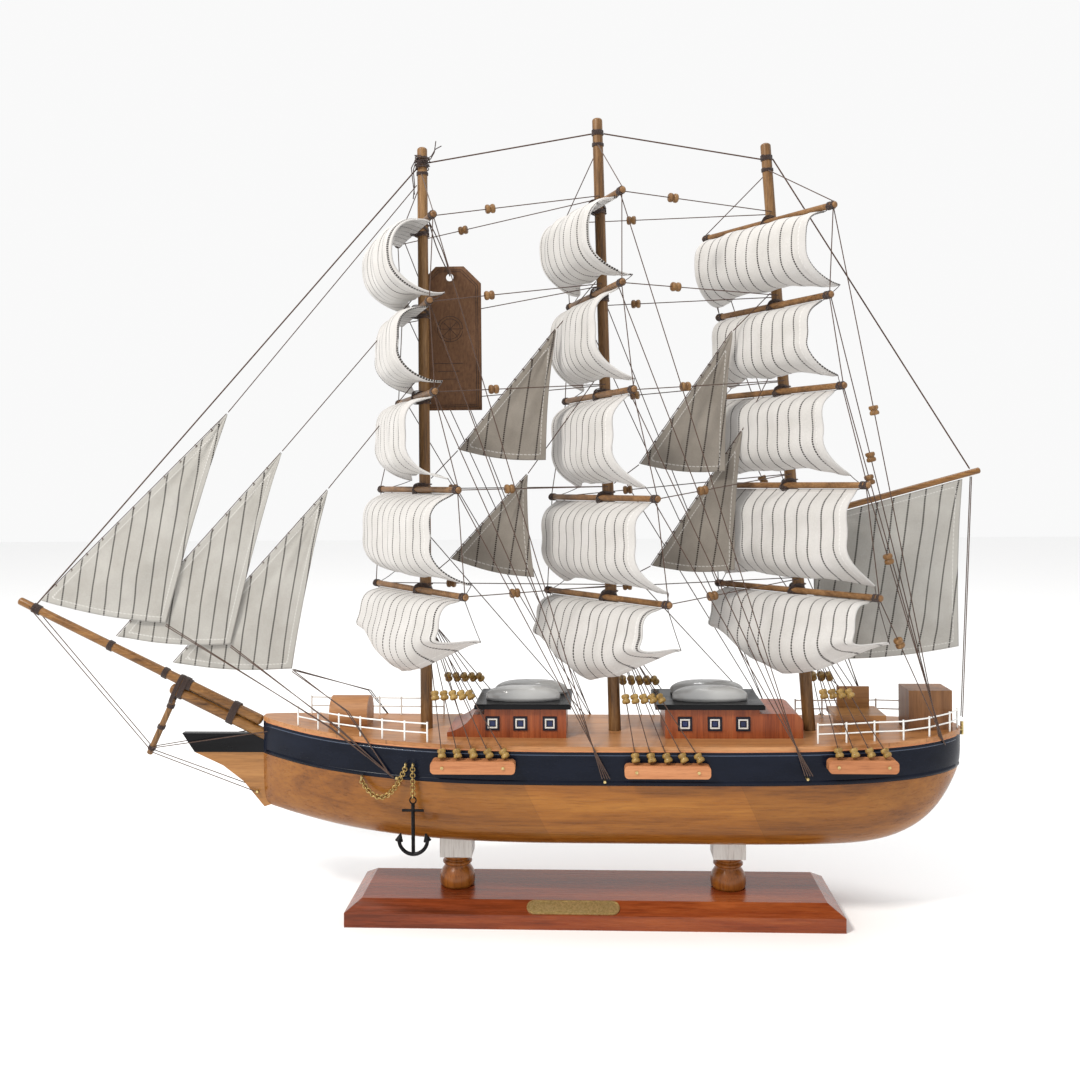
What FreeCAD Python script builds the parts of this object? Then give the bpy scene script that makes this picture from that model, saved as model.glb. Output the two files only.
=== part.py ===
import FreeCAD, Part
import math
import os
from FreeCAD import Placement, Rotation, Vector

# Model sailing ship on a stand. Millimetres: +X to the stern, -Y to port, +Z up.
# The origin is the centre of the base plank's underside.

DOC = FreeCAD.newDocument("ModelShip")
SHEET = DOC.addObject("Spreadsheet::Sheet", "Sizes")

SIZES = {
    # stand
    "base_length": 300, "base_width": 68, "base_edge": 5.4, "base_height": 14.5,
    "base_bevel": 5.8, "plate_length": 56, "plate_height": 9.6, "plate_thickness": 0.8,
    "plate_station": -11.5,
    "pedestal_height": 19.5, "pedestal_radius": 11, "pedestal_spread": 85,
    "riser_length": 20, "riser_width": 18,
    # hull
    "bow_station": -208, "stern_station": 227, "beam": 86, "keel_height": 45,
    "hull_depth": 67, "band_height": 23, "deck_thickness": 2.5, "stem_half": 3,
    "knee_length": 53, "knee_width": 5, "knee_head_height": 12,
    # spars
    "mast_radius": 3.9, "mast_tip_radius": 3.2, "mast_step": 18, "fit_gap": 0.15,
    "fore_mast_station": -104, "main_mast_station": 15, "mizzen_mast_station": 136,
    "fore_mast_height": 368, "main_mast_height": 385, "mizzen_mast_height": 367,
    "main_mast_rake": 1.2, "mizzen_mast_rake": 3.8,
    "yard_radius": 1.9, "lash_gap": 0.3,
    "bowsprit_length": 68, "bowsprit_radius": 3.5, "bowsprit_angle": 26, "bowsprit_socket": 9,
    "jib_boom_length": 177, "jib_boom_radius": 3.3, "jib_boom_tip_radius": 2.5,
    "striker_length": 39, "striker_radius": 1.9,
    "gaff_length": 114, "gaff_radius": 1.9, "gaff_height": 132, "gaff_rise": 15,
    # cloth and thread
    "sail_thickness": 0.8, "thread_radius": 0.3, "rope_radius": 0.45, "cloth_gap": 0.3,
    # deck
    "house_width": 44, "house_height": 18, "roof_thickness": 3, "roof_overhang": 3,
    "fore_house_station": -65, "fore_house_length": 50,
    "aft_house_station": 45, "aft_house_length": 57, "aft_wing_length": 26,
    "window_size": 8, "window_thickness": 0.8,
    "boat_length": 46, "boat_width": 15, "boat_height": 9,
    "rail_height": 11, "rail_wire_radius": 0.45, "rail_inset": 3,
    "channel_width": 7, "channel_height": 7.5,
    "bead_radius": 2.5, "bead_height": 5.2, "block_radius": 2.8,
    "stern_box_length": 26, "stern_box_width": 22, "stern_box_height": 25,
    "anchor_length": 32, "anchor_width": 17, "anchor_station": -106,
    "chain_ring": 1.3, "chain_wire": 0.35,
    "tag_width": 40, "tag_height": 92, "tag_thickness": 0.6, "tag_clip": 11,
}

# one value per level, from the top yard down
YARD_HEIGHT = {"fore": (428, 376, 322, 264, 201),
               "main": (440, 385, 322, 258, 196),
               "mizzen": (428, 376, 323, 265, 200)}
YARD_HALF = {"fore": (46, 50, 54, 60, 60),
             "main": (46, 50, 54, 60, 60),
             "mizzen": (55, 52, 55, 62, 64)}
YARD_BRACE = {"fore": (24, 20, 22, 34, 38),
              "main": (24, 20, 24, 34, 40),
              "mizzen": (38, 33, 35, 40, 41)}
SAIL_BELLY = {"fore": (26, 20, 18, 17, 12),
              "main": (21, 16, 13, 13, 12),
              "mizzen": (18, 13, 11, 11, 12)}
FOOT_LIFT = 11
LOWEST_DROP = 42
LOWEST_TILT = 16
SAIL_SIDE_MARGIN = 9

for row, (alias, value) in enumerate(SIZES.items(), start=1):
    SHEET.set("A%d" % row, alias)
    SHEET.set("B%d" % row, str(value))
    SHEET.setAlias("B%d" % row, alias)
row = len(SIZES)
for table, name in ((YARD_HEIGHT, "height"), (YARD_HALF, "half"),
                    (YARD_BRACE, "brace"), (SAIL_BELLY, "belly")):
    for mast, values in table.items():
        for level, value in enumerate(values, start=1):
            row += 1
            SHEET.set("B%d" % row, str(value))
            SHEET.setAlias("B%d" % row, "%s_%s_%s" % (mast, name, "abcde"[level - 1]))
DOC.recompute()

NODES = []


def size(alias):
    return float(getattr(SHEET, alias))


def level_size(mast, name, level):
    return size("%s_%s_%s" % (mast, name, "abcde"[level]))


def node(obj, label):
    obj.Label = label
    NODES.append(obj)
    return obj


def primitive(kind, name, exprs, place=None):
    obj = DOC.addObject("Part::" + kind, name)
    for prop, expr in exprs.items():
        obj.setExpression(prop, expr)
    if place is not None:
        obj.Placement = place
    return obj


def cell(alias):
    return "Sizes." + alias


def cut(name, base, tool):
    obj = DOC.addObject("Part::Cut", name)
    obj.Base = base
    obj.Tool = tool
    return obj


def fuse(name, shapes):
    obj = DOC.addObject("Part::MultiFuse", name)
    obj.Shapes = shapes
    return obj


def coded(label, shape, place=None):
    obj = DOC.addObject("Part::Feature", label)
    obj.Shape = shape
    obj.Placement = place or Placement()
    return node(obj, label)


def frame(origin, along, up):
    """Placement whose local Z runs along one direction and local X follows another."""
    return Placement(origin, Rotation(up, Vector(), along, "ZXY"))


def rod(start, end, radius, tip_radius=None):
    axis = end - start
    if tip_radius is None:
        return Part.makeCylinder(radius, axis.Length, start, axis)
    return Part.makeCone(radius, tip_radius, axis.Length, start, axis)


def plate_body(label, points, thickness_alias, place):
    """Closed outline in the local XZ plane, padded to both sides of it."""
    body = DOC.addObject("PartDesign::Body", label)
    sketch = body.newObject("Sketcher::SketchObject", label + "_outline")
    plane = [f for f in body.Origin.OriginFeatures if f.Role == "XZ_Plane"][0]
    sketch.AttachmentSupport = [(plane, "")]
    sketch.MapMode = "FlatFace"
    corners = [Vector(x, z, 0) for x, z in points]
    for start, end in zip(corners, corners[1:] + corners[:1]):
        sketch.addGeometry(Part.LineSegment(start, end), False)
    pad = body.newObject("PartDesign::Pad", label + "_pad")
    pad.Profile = sketch
    pad.Midplane = True
    pad.setExpression("Length", cell(thickness_alias))
    body.Tip = pad
    body.Placement = place
    return node(body, label)


# ---------------------------------------------------------------- hull form

BOW = size("bow_station")
STERN = size("stern_station")
KEEL = size("keel_height")
DECK = KEEL + size("hull_depth")
BEAM_HALF = size("beam") / 2
STEM = size("stem_half")
BOW_SHEER = 9
STERN_SHEER = 4
BOW_FOREFOOT = 20
STERN_COUNTER = 50
SECTION_FULLNESS = 3


def half_breadth(x):
    if x < 0:
        shape = (1 - min(x / BOW, 1) ** 3) ** 0.825
    else:
        shape = (1 - min(x / STERN, 1) ** 5) ** 0.6
    return STEM + (BEAM_HALF - STEM) * shape


def deck_z(x):
    if x < 0:
        return DECK + BOW_SHEER * (x / BOW) ** 3
    return DECK + STERN_SHEER * (x / STERN) ** 4


def keel_z(x):
    if x < 0:
        return KEEL + BOW_FOREFOOT * (x / BOW) ** 3
    return KEEL + STERN_COUNTER * (x / STERN) ** 10


def side_y(x, z):
    """Half breadth of the hull at one station and height."""
    rise = (z - keel_z(x)) / (deck_z(x) - keel_z(x))
    rise = min(max(rise, 0), 1)
    return half_breadth(x) * (1 - (1 - rise) ** SECTION_FULLNESS) ** (1 / SECTION_FULLNESS)


def hull_section(x):
    steps = 9
    points = []
    for i in range(steps + 1):
        angle = math.pi / 2 * i / steps
        rise = 1 - math.cos(angle) ** (2 / SECTION_FULLNESS)
        breadth = half_breadth(x) * math.sin(angle) ** (2 / SECTION_FULLNESS)
        points.append((breadth, keel_z(x) + rise * (deck_z(x) - keel_z(x))))
    port = [Vector(x, -y, z) for y, z in reversed(points)]
    starboard = [Vector(x, y, z) for y, z in points[1:]]
    curve = Part.BSplineCurve()
    curve.interpolate(port + starboard)
    lid = Part.LineSegment(starboard[-1], port[0])
    return Part.Wire([curve.toShape(), lid.toShape()])


def above(offset, margin=60):
    """Solid that fills everything above the sheer line moved by an offset."""
    steps = 24
    stations = [BOW - margin + (STERN - BOW + 2 * margin) * i / steps for i in range(steps + 1)]
    line = [Vector(x, -margin, deck_z(min(max(x, BOW), STERN)) + offset) for x in stations]
    curve = Part.BSplineCurve()
    curve.interpolate(line)
    top = DECK + margin
    corners = [line[-1], Vector(line[-1].x, -margin, top), Vector(line[0].x, -margin, top), line[0]]
    edges = [curve.toShape()]
    for start, end in zip(corners, corners[1:]):
        edges.append(Part.LineSegment(start, end).toShape())
    return Part.Face(Part.Wire(edges)).extrude(Vector(0, 2 * margin, 0))


BOW_STATIONS = (1, 0.985, 0.95, 0.88, 0.78, 0.65, 0.48, 0.25)
STERN_STATIONS = (0.25, 0.5, 0.68, 0.8, 0.88, 0.94, 0.975, 0.993, 1)
stations = [BOW * s for s in BOW_STATIONS] + [0] + [STERN * s for s in STERN_STATIONS]
hull_solid = Part.makeLoft([hull_section(x) for x in stations], True, False)
above_deck_plank = above(-size("deck_thickness"))
above_band = above(-size("band_height"))


# ---------------------------------------------------------------- masts

MASTS = ("fore", "main", "mizzen")
STATION = {m: size(m + "_mast_station") for m in MASTS}
HEIGHT = {m: size(m + "_mast_height") for m in MASTS}
RAKE = {"fore": 0, "main": size("main_mast_rake"), "mizzen": size("mizzen_mast_rake")}
STEP = size("mast_step")
MAST_R = size("mast_radius")
MAST_TIP_R = size("mast_tip_radius")
YARD_R = size("yard_radius")


def mast_dir(mast):
    lean = math.radians(RAKE[mast])
    return Vector(-math.sin(lean), 0, math.cos(lean))


def mast_foot(mast):
    return Vector(STATION[mast], 0, deck_z(STATION[mast])) - mast_dir(mast) * STEP


def mast_at(mast, z):
    foot = mast_foot(mast)
    return foot + mast_dir(mast) * ((z - foot.z) / mast_dir(mast).z)


def mast_radius_at(mast, z):
    share = (z - mast_foot(mast).z) / (HEIGHT[mast] + STEP)
    return MAST_R + (MAST_TIP_R - MAST_R) * share


def mast_side(mast, z, side):
    """Point just outside the mast: side -1 port, +1 starboard."""
    reach = mast_radius_at(mast, z) + size("thread_radius") + 0.1
    return mast_at(mast, z) + Vector(0, side * reach, 0)


def mast_front(mast, z, back=False):
    reach = mast_radius_at(mast, z) + size("thread_radius") + 0.1
    return mast_at(mast, z) + Vector(reach if back else -reach, 0, 0)


for mast in MASTS:
    cone = primitive("Cone", mast + "_mast", {
        "Radius1": cell("mast_radius"), "Radius2": cell("mast_tip_radius"),
        "Height": cell(mast + "_mast_height") + " + " + cell("mast_step")},
        frame(mast_foot(mast), mast_dir(mast), Vector(1, 0, 0)))
    node(cone, mast + "_mast")

# sockets for the masts, and for the bowsprit's heel in the stem
sprit_lean = math.radians(size("bowsprit_angle"))
SPRIT_DIR = Vector(-math.cos(sprit_lean), 0, math.sin(sprit_lean))
SPRIT_UP = Vector(math.sin(sprit_lean), 0, math.cos(sprit_lean))
SPRIT_R = size("bowsprit_radius")
sprit_mouth = Vector(BOW, 0, deck_z(BOW) - 12.5)
sprit_heel = sprit_mouth - SPRIT_DIR * size("bowsprit_socket")
sprit_end = sprit_mouth + SPRIT_DIR * size("bowsprit_length")

sockets = []
for mast in MASTS:
    top = mast_foot(mast) + mast_dir(mast) * (2 * STEP)
    sockets.append(rod(mast_foot(mast), top, MAST_R + size("fit_gap")))
sprit_socket = rod(sprit_heel, sprit_end, SPRIT_R + size("fit_gap"))
socket_tools = Part.makeCompound(sockets + [sprit_socket])

hull_upper = hull_solid.common(above_band).cut(above_deck_plank).cut(socket_tools)
coded("hull_band", hull_upper.Solids[0])
hull_low = hull_solid.cut(above_band).cut(socket_tools)
coded("hull_lower", hull_low.Solids[0])
deck_plank = hull_solid.common(above_deck_plank).cut(socket_tools)
coded("deck", deck_plank.Solids[0])

# ---------------------------------------------------------------- cutwater

knee = size("knee_length")
head_top = deck_z(BOW) - 11.5
head_low = head_top - size("knee_head_height")
HULL_OVERLAP = 6
knee_y = size("knee_width") / 2
head_points = [(BOW - knee, head_top), (BOW + HULL_OVERLAP, head_top),
               (BOW + HULL_OVERLAP, head_low), (BOW - knee + 8, head_low)]
low_points = [(BOW - knee + 8, head_low), (BOW + HULL_OVERLAP, head_low),
              (BOW + HULL_OVERLAP, keel_z(BOW)), (BOW, keel_z(BOW) - 2),
              (BOW - knee * 0.25, keel_z(BOW) + 14), (BOW - knee * 0.5, keel_z(BOW) + 24)]


def knee_piece(label, points):
    corners = [Vector(x, -knee_y, z) for x, z in points]
    outline = Part.makePolygon(corners + corners[:1])
    prism = Part.Face(outline).extrude(Vector(0, 2 * knee_y, 0))
    piece = prism.cut(hull_solid).cut(sprit_socket)
    piece = max(piece.Solids, key=lambda s: s.Volume)
    return coded(label, piece)


knee_piece("cutwater_head", head_points)
knee_piece("cutwater", low_points)

# ---------------------------------------------------------------- stand

base = DOC.addObject("PartDesign::Body", "base_plank")
outline = base.newObject("Sketcher::SketchObject", "base_outline")
xy_plane = [f for f in base.Origin.OriginFeatures if f.Role == "XY_Plane"][0]
outline.AttachmentSupport = [(xy_plane, "")]
outline.MapMode = "FlatFace"
half_l = size("base_length") / 2
half_w = size("base_width") / 2
ring = [Vector(-half_l, -half_w, 0), Vector(half_l, -half_w, 0),
        Vector(half_l, half_w, 0), Vector(-half_l, half_w, 0)]
for start, end in zip(ring, ring[1:] + ring[:1]):
    outline.addGeometry(Part.LineSegment(start, end), False)
plank = base.newObject("PartDesign::Pad", "base_pad")
plank.Profile = outline
plank.setExpression("Length", cell("base_height"))
DOC.recompute()
top_edges = []
for index, edge in enumerate(plank.Shape.Edges, start=1):
    if all(abs(v.Z - size("base_height")) < 1e-6 for v in edge.Vertexes):
        top_edges.append("Edge%d" % index)
bevel = base.newObject("PartDesign::Chamfer", "base_bevel_cut")
bevel.Base = (plank, top_edges)
bevel.ChamferType = "Two distances"
bevel.setExpression("Size", cell("base_bevel"))
bevel.setExpression("Size2", cell("base_height") + " - " + cell("base_edge"))
base.Tip = bevel
node(base, "base_plank")
DOC.recompute()
front_slope = [f for f in base.Shape.Faces
               if f.normalAt(0, 0).y < -0.3 and 0.1 < f.normalAt(0, 0).z < 0.999]
slope_face = front_slope[0]
slope_normal = slope_face.normalAt(0, 0)
plate_mid = slope_face.CenterOfMass + Vector(size("plate_station"), 0, 0)

plate_box = primitive("Box", "plate_middle", {
    "Length": cell("plate_length") + " - " + cell("plate_height"),
    "Width": cell("plate_height"), "Height": cell("plate_thickness")})
end_discs = []
for side in (0, 1):
    end_discs.append(primitive("Cylinder", "plate_end%d" % side, {
        "Radius": cell("plate_height") + " / 2", "Height": cell("plate_thickness")}))
    offset = side * (size("plate_length") - size("plate_height"))
    end_discs[side].Placement.Base = Vector(offset, size("plate_height") / 2, 0)
name_plate = node(fuse("nameplate", [plate_box] + end_discs), "nameplate")
plate_up = slope_normal.cross(Vector(1, 0, 0))
corner = plate_mid - Vector(1, 0, 0) * (size("plate_length") - size("plate_height")) / 2
corner = corner - plate_up * size("plate_height") / 2
name_plate.Placement = Placement(corner, Rotation(Vector(1, 0, 0), plate_up, slope_normal, "ZXY"))

PEDESTAL_R = size("pedestal_radius")
stand_top = size("base_height") + size("pedestal_height")
pedestal_parts = []
riser_parts = []
for side in (-1, 1):
    name = "fore" if side < 0 else "aft"
    here = Vector(side * size("pedestal_spread"), 0, size("base_height"))
    high = size("pedestal_height")
    foot = Part.makeCylinder(PEDESTAL_R * 0.82, 2.2, here)
    bulb = Part.makeSphere(1, Vector())
    stretch = FreeCAD.Matrix()
    stretch.scale(PEDESTAL_R, PEDESTAL_R, high * 0.42)
    bulb = bulb.transformGeometry(stretch)
    bulb.translate(here + Vector(0, 0, high * 0.46))
    slab = Part.makeBox(4 * PEDESTAL_R, 4 * PEDESTAL_R, high * 0.8,
                        here + Vector(-2 * PEDESTAL_R, -2 * PEDESTAL_R, 1.5))
    bulb = bulb.common(slab)
    collar = Part.makeCylinder(PEDESTAL_R * 0.68, 3, here + Vector(0, 0, high - 5))
    lip = Part.makeCone(PEDESTAL_R * 0.8, PEDESTAL_R * 0.9, 2.6, here + Vector(0, 0, high - 2.6))
    pedestal_parts.append(foot.multiFuse([bulb, collar, lip]).removeSplitter())
    block = Part.makeBox(size("riser_length"), size("riser_width"), 40,
                         Vector(here.x - size("riser_length") / 2, -size("riser_width") / 2, stand_top))
    seat = block.cut(hull_solid)
    lowest = min(seat.Solids, key=lambda s: s.CenterOfMass.z)
    riser_parts.append(lowest)
coded("pedestals", Part.makeCompound(pedestal_parts))
coded("hull_risers", Part.makeCompound(riser_parts))

# ---------------------------------------------------------------- yards and lashings

PORT = -1
STARBOARD = 1


def yard_axis(mast, level):
    """Unit vector from the yard's centre to its port end, which is braced aft."""
    brace = math.radians(level_size(mast, "brace", level))
    return Vector(math.sin(brace), -math.cos(brace), 0)


def yard_front(mast, level):
    brace = math.radians(level_size(mast, "brace", level))
    return Vector(-math.cos(brace), -math.sin(brace), 0)


def yard_centre(mast, level):
    z = level_size(mast, "height", level)
    reach = mast_radius_at(mast, z) + YARD_R + size("lash_gap")
    return mast_at(mast, z) + yard_front(mast, level) * reach


def yard_point(mast, level, side, inboard=2.5):
    half = level_size(mast, "half", level) - inboard
    return yard_centre(mast, level) + yard_axis(mast, level) * (-side * half)


yard_parts = []
for mast in MASTS:
    for level in range(5):
        expr_half = cell("%s_half_%s" % (mast, "abcde"[level]))
        start = yard_point(mast, level, STARBOARD, 0)
        yard_parts.append(primitive(
            "Cylinder", "%s_yard_%d" % (mast, level + 1),
            {"Radius": cell("yard_radius"), "Height": "2 * " + expr_half},
            frame(start, yard_axis(mast, level), Vector(0, 0, 1))))
yards = DOC.addObject("Part::Compound", "yards")
yards.Links = yard_parts
node(yards, "yards")

lash_r = size("rope_radius")
lashings = []
for mast in MASTS:
    for level in range(5):
        z = level_size(mast, "height", level)
        for offset in (-YARD_R - 1.4, YARD_R + 1.4):
            here = mast_at(mast, z + offset)
            wrap = mast_radius_at(mast, z) + lash_r + 0.15
            lashings.append(Part.makeTorus(wrap, lash_r, here, mast_dir(mast)))
TAG_LOOP_Z = 434
STRING_R = 0.4
tag_loop = mast_radius_at("fore", TAG_LOOP_Z) + lash_r + 0.15
TAG_LOOP_R = tag_loop + lash_r
lashings.append(Part.makeTorus(tag_loop, lash_r, mast_at("fore", TAG_LOOP_Z), Vector(0, 0, 1)))

# ---------------------------------------------------------------- square sails


def foot_height(mast, level):
    if level == 4:
        return level_size(mast, "height", 4) - LOWEST_DROP
    return level_size(mast, "height", level + 1) + FOOT_LIFT


def square_sail(mast, level):
    label = "%s_sail_%d" % (mast, level + 1)
    letter = "abcde"[level]
    head = level_size(mast, "height", level) - YARD_R - size("cloth_gap")
    chord = head - foot_height(mast, level)
    belly = level_size(mast, "belly", level)
    radius = (chord ** 2 / 4 + belly ** 2) / (2 * belly)
    angle = math.degrees(4 * math.atan(2 * belly / chord))
    half = level_size(mast, "half", level) - SAIL_SIDE_MARGIN
    front = yard_front(mast, level)
    axis = yard_axis(mast, level)
    tilt = LOWEST_TILT if level == 4 else 0
    head_point = yard_centre(mast, level)
    head_point.z = head
    swing = Rotation(axis, -tilt)
    forward = swing.multVec(front)
    down = swing.multVec(Vector(0, 0, -1))
    centre = head_point + down * (chord / 2) + forward * (belly - radius)
    origin = centre - axis * half
    first = Rotation(axis, -angle / 2).multVec(forward)
    place = frame(origin, axis, first)
    bulge = "%g" % radius
    outer = primitive("Cylinder", label + "_outer", {
        "Radius": bulge, "Angle": "%g" % angle,
        "Height": "2 * (%s - %g)" % (cell("%s_half_%s" % (mast, letter)), SAIL_SIDE_MARGIN)}, place)
    inner = primitive("Cylinder", label + "_inner", {
        "Radius": bulge + " - " + cell("sail_thickness"),
        "Height": "2 * (%s - %g)" % (cell("%s_half_%s" % (mast, letter)), SAIL_SIDE_MARGIN)}, place)
    node(cut(label, outer, inner), label)


for mast in MASTS:
    for level in range(5):
        square_sail(mast, level)

# ---------------------------------------------------------------- bowsprit and jib-boom

sprit = primitive("Cylinder", "bowsprit", {
    "Radius": cell("bowsprit_radius"),
    "Height": cell("bowsprit_length") + " + " + cell("bowsprit_socket")},
    frame(sprit_heel, SPRIT_DIR, Vector(0, 1, 0)))
node(sprit, "bowsprit")
BOOM_R = size("jib_boom_radius")
boom_heel = sprit_mouth + SPRIT_UP * (SPRIT_R + BOOM_R + 0.1) + SPRIT_DIR * 5
boom_tip = boom_heel + SPRIT_DIR * size("jib_boom_length")
jib_boom = primitive("Cone", "jib_boom", {
    "Radius1": cell("jib_boom_radius"), "Radius2": cell("jib_boom_tip_radius"),
    "Height": cell("jib_boom_length")}, frame(boom_heel, SPRIT_DIR, Vector(0, 1, 0)))
node(jib_boom, "jib_boom")
striker_dir = Vector(-0.42, 0, -0.907)
striker_top = sprit_end - SPRIT_DIR * 5 - SPRIT_UP * (SPRIT_R + 0.6)
striker_top = striker_top + striker_dir * size("striker_radius")
striker = primitive("Cylinder", "dolphin_striker", {
    "Radius": cell("striker_radius"), "Height": cell("striker_length")},
    frame(striker_top, striker_dir, Vector(0, 1, 0)))
node(striker, "dolphin_striker")


def boom_top(distance):
    """Point just above the jib-boom, measured from its heel."""
    radius = BOOM_R + (size("jib_boom_tip_radius") - BOOM_R) * distance / size("jib_boom_length")
    return boom_heel + SPRIT_DIR * distance + SPRIT_UP * (radius + size("thread_radius") + 0.1)


# ---------------------------------------------------------------- gaff and spanker

gaff_z = DECK + size("gaff_height")
GAFF_R = size("gaff_radius")
gaff_root = mast_front("mizzen", gaff_z, True) + Vector(GAFF_R * 0.2, 0, 0)
gaff_lean = math.radians(size("gaff_rise"))
GAFF_DIR = Vector(math.cos(gaff_lean), 0, math.sin(gaff_lean))
GAFF_UP = Vector(-math.sin(gaff_lean), 0, math.cos(gaff_lean))
gaff_end = gaff_root + GAFF_DIR * size("gaff_length")
gaff = primitive("Cylinder", "spanker_gaff", {
    "Radius": cell("gaff_radius"), "Height": cell("gaff_length")},
    frame(gaff_root, GAFF_DIR, Vector(0, 1, 0)))
node(gaff, "spanker_gaff")

SPANKER_GAP = 0.6
spanker_fore = gaff_root + GAFF_DIR * 7 - GAFF_UP * (GAFF_R + SPANKER_GAP)
spanker_aft = gaff_end - GAFF_DIR * 12 - GAFF_UP * (GAFF_R + SPANKER_GAP)
spanker_low = deck_z(STATION["mizzen"]) + 44
plate_body("spanker_sail", [
    (spanker_fore.x, spanker_fore.z), (spanker_aft.x, spanker_aft.z),
    (spanker_aft.x - 3, spanker_low + 8), (mast_at("mizzen", spanker_low).x + 7, spanker_low)],
    "sail_thickness", Placement())

# ---------------------------------------------------------------- jibs and staysails

JIB_SPREAD = 2.5
JIB_TACKS = (163, 109, 69)
JIB_HEADS = ((-230, 313), (-196, 288), (-167, 264))
JIB_CLEWS = ((-271, 180), (-230, 166), (-191, 150))
JIB_MAST_HEIGHTS = (457, 388.3, 334.6)
jib_tacks = []
for i in range(3):
    tack = boom_top(JIB_TACKS[i]) + Vector(2, 0, 3.5)
    jib_tacks.append(tack)
    head = Vector(JIB_HEADS[i][0], 0, JIB_HEADS[i][1])
    clew = Vector(JIB_CLEWS[i][0], 0, JIB_CLEWS[i][1])
    plate_body("jib_%d" % (i + 1), [(tack.x, tack.z), (head.x, head.z), (clew.x, clew.z)],
               "sail_thickness", Placement(Vector(0, (i - 1) * JIB_SPREAD, 0), Rotation()))

# tack, head, clew, sideways place, height of the stay on the mast ahead and on the mast behind
STAYSAILS = {
    "fore_upper_staysail": ((-82, 289), (-20, 364), (-27, 282), -2, "fore", 271, "main", 394),
    "fore_lower_staysail": ((-88, 220), (-39, 273), (-35, 208), 2, "fore", 210, "main", 335),
    "aft_upper_staysail": ((32, 279), (90, 361), (85, 274), -2.5, "main", 267, "mizzen", 385),
    "aft_lower_staysail": ((39, 215), (96, 299), (91, 212), 2.5, "main", 204, "mizzen", 341)}
for label, (tack, head, clew, aside, *_) in STAYSAILS.items():
    plate_body(label, [tack, head, clew], "sail_thickness",
               Placement(Vector(0, aside, 0), Rotation()))

# ---------------------------------------------------------------- thread

THREAD = size("thread_radius")
ROPE = size("rope_radius")
standing = []
running = []


def thread(group, *points, radius=THREAD):
    for start, end in zip(points, points[1:]):
        group.append(rod(start, end, radius))


def turned_bead(centre, direction, radius, height):
    """Two rims with a groove between them and a hole for the thread."""
    axis = direction * (1 / direction.Length)
    low = centre - axis * (height / 2)
    rims = [Part.makeCylinder(radius, height * 0.42, low, axis),
            Part.makeCylinder(radius, height * 0.42, low + axis * (height * 0.58), axis),
            Part.makeCylinder(radius * 0.78, height, low, axis)]
    hole = Part.makeCylinder(THREAD + size("fit_gap"), height * 2, low - axis * height / 2, axis)
    return rims[0].multiFuse(rims[1:]).cut(hole)


def after_knot(start, end):
    """Where a thread leaves the knot at its start."""
    way = end - start
    return start + way * (KNOT / way.Length)


KNOT = 0.8
gap_end = THREAD + 0.1
mast_top = {m: mast_foot(m) + mast_dir(m) * (HEIGHT[m] + STEP) for m in MASTS}
rope_z = {m: mast_top[m].z - 10 for m in MASTS}
thread(standing, mast_front("fore", rope_z["fore"], True) + Vector(0.2, 0, 0),
       mast_front("main", rope_z["main"]) - Vector(0.2, 0, 0), radius=ROPE)
thread(standing, mast_front("main", rope_z["main"], True) + Vector(0.2, 0, 0),
       mast_front("mizzen", rope_z["mizzen"]) - Vector(0.2, 0, 0), radius=ROPE)
gaff_tie = gaff_end - GAFF_DIR * 6 + GAFF_UP * (GAFF_R + ROPE + 0.2)
thread(standing, mast_front("mizzen", rope_z["mizzen"], True) + Vector(0.2, 0, 0), gaff_tie,
       radius=ROPE)
thread(standing, boom_top(size("jib_boom_length") - 12) + Vector(0, 0, 0.3),
       mast_front("fore", rope_z["fore"] - 4) - Vector(0.3, 0, 0), radius=ROPE)
for i in range(3):
    aside = Vector(0, (i - 1) * JIB_SPREAD, 0)
    head = Vector(JIB_HEADS[i][0], 0, JIB_HEADS[i][1] + 0.6) + aside
    thread(standing, after_knot(head, head + Vector(1, 0, 1)),
           mast_front("fore", JIB_MAST_HEIGHTS[i]))
for label, (tack, head, clew, aside, low_mast, low_z, high_mast, high_z) in STAYSAILS.items():
    shift = Vector(0, aside, 0)
    top = Vector(head[0], 0, head[1]) + shift
    low = Vector(tack[0], 0, tack[1]) + shift
    anchor_low = mast_front(low_mast, low_z, True)
    thread(standing, after_knot(low, anchor_low), anchor_low)
    anchor_high = mast_front(high_mast, high_z)
    thread(standing, after_knot(top, anchor_high), anchor_high)

BACKSTAY_INBOARD = (10, 15, 14, 10)
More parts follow.
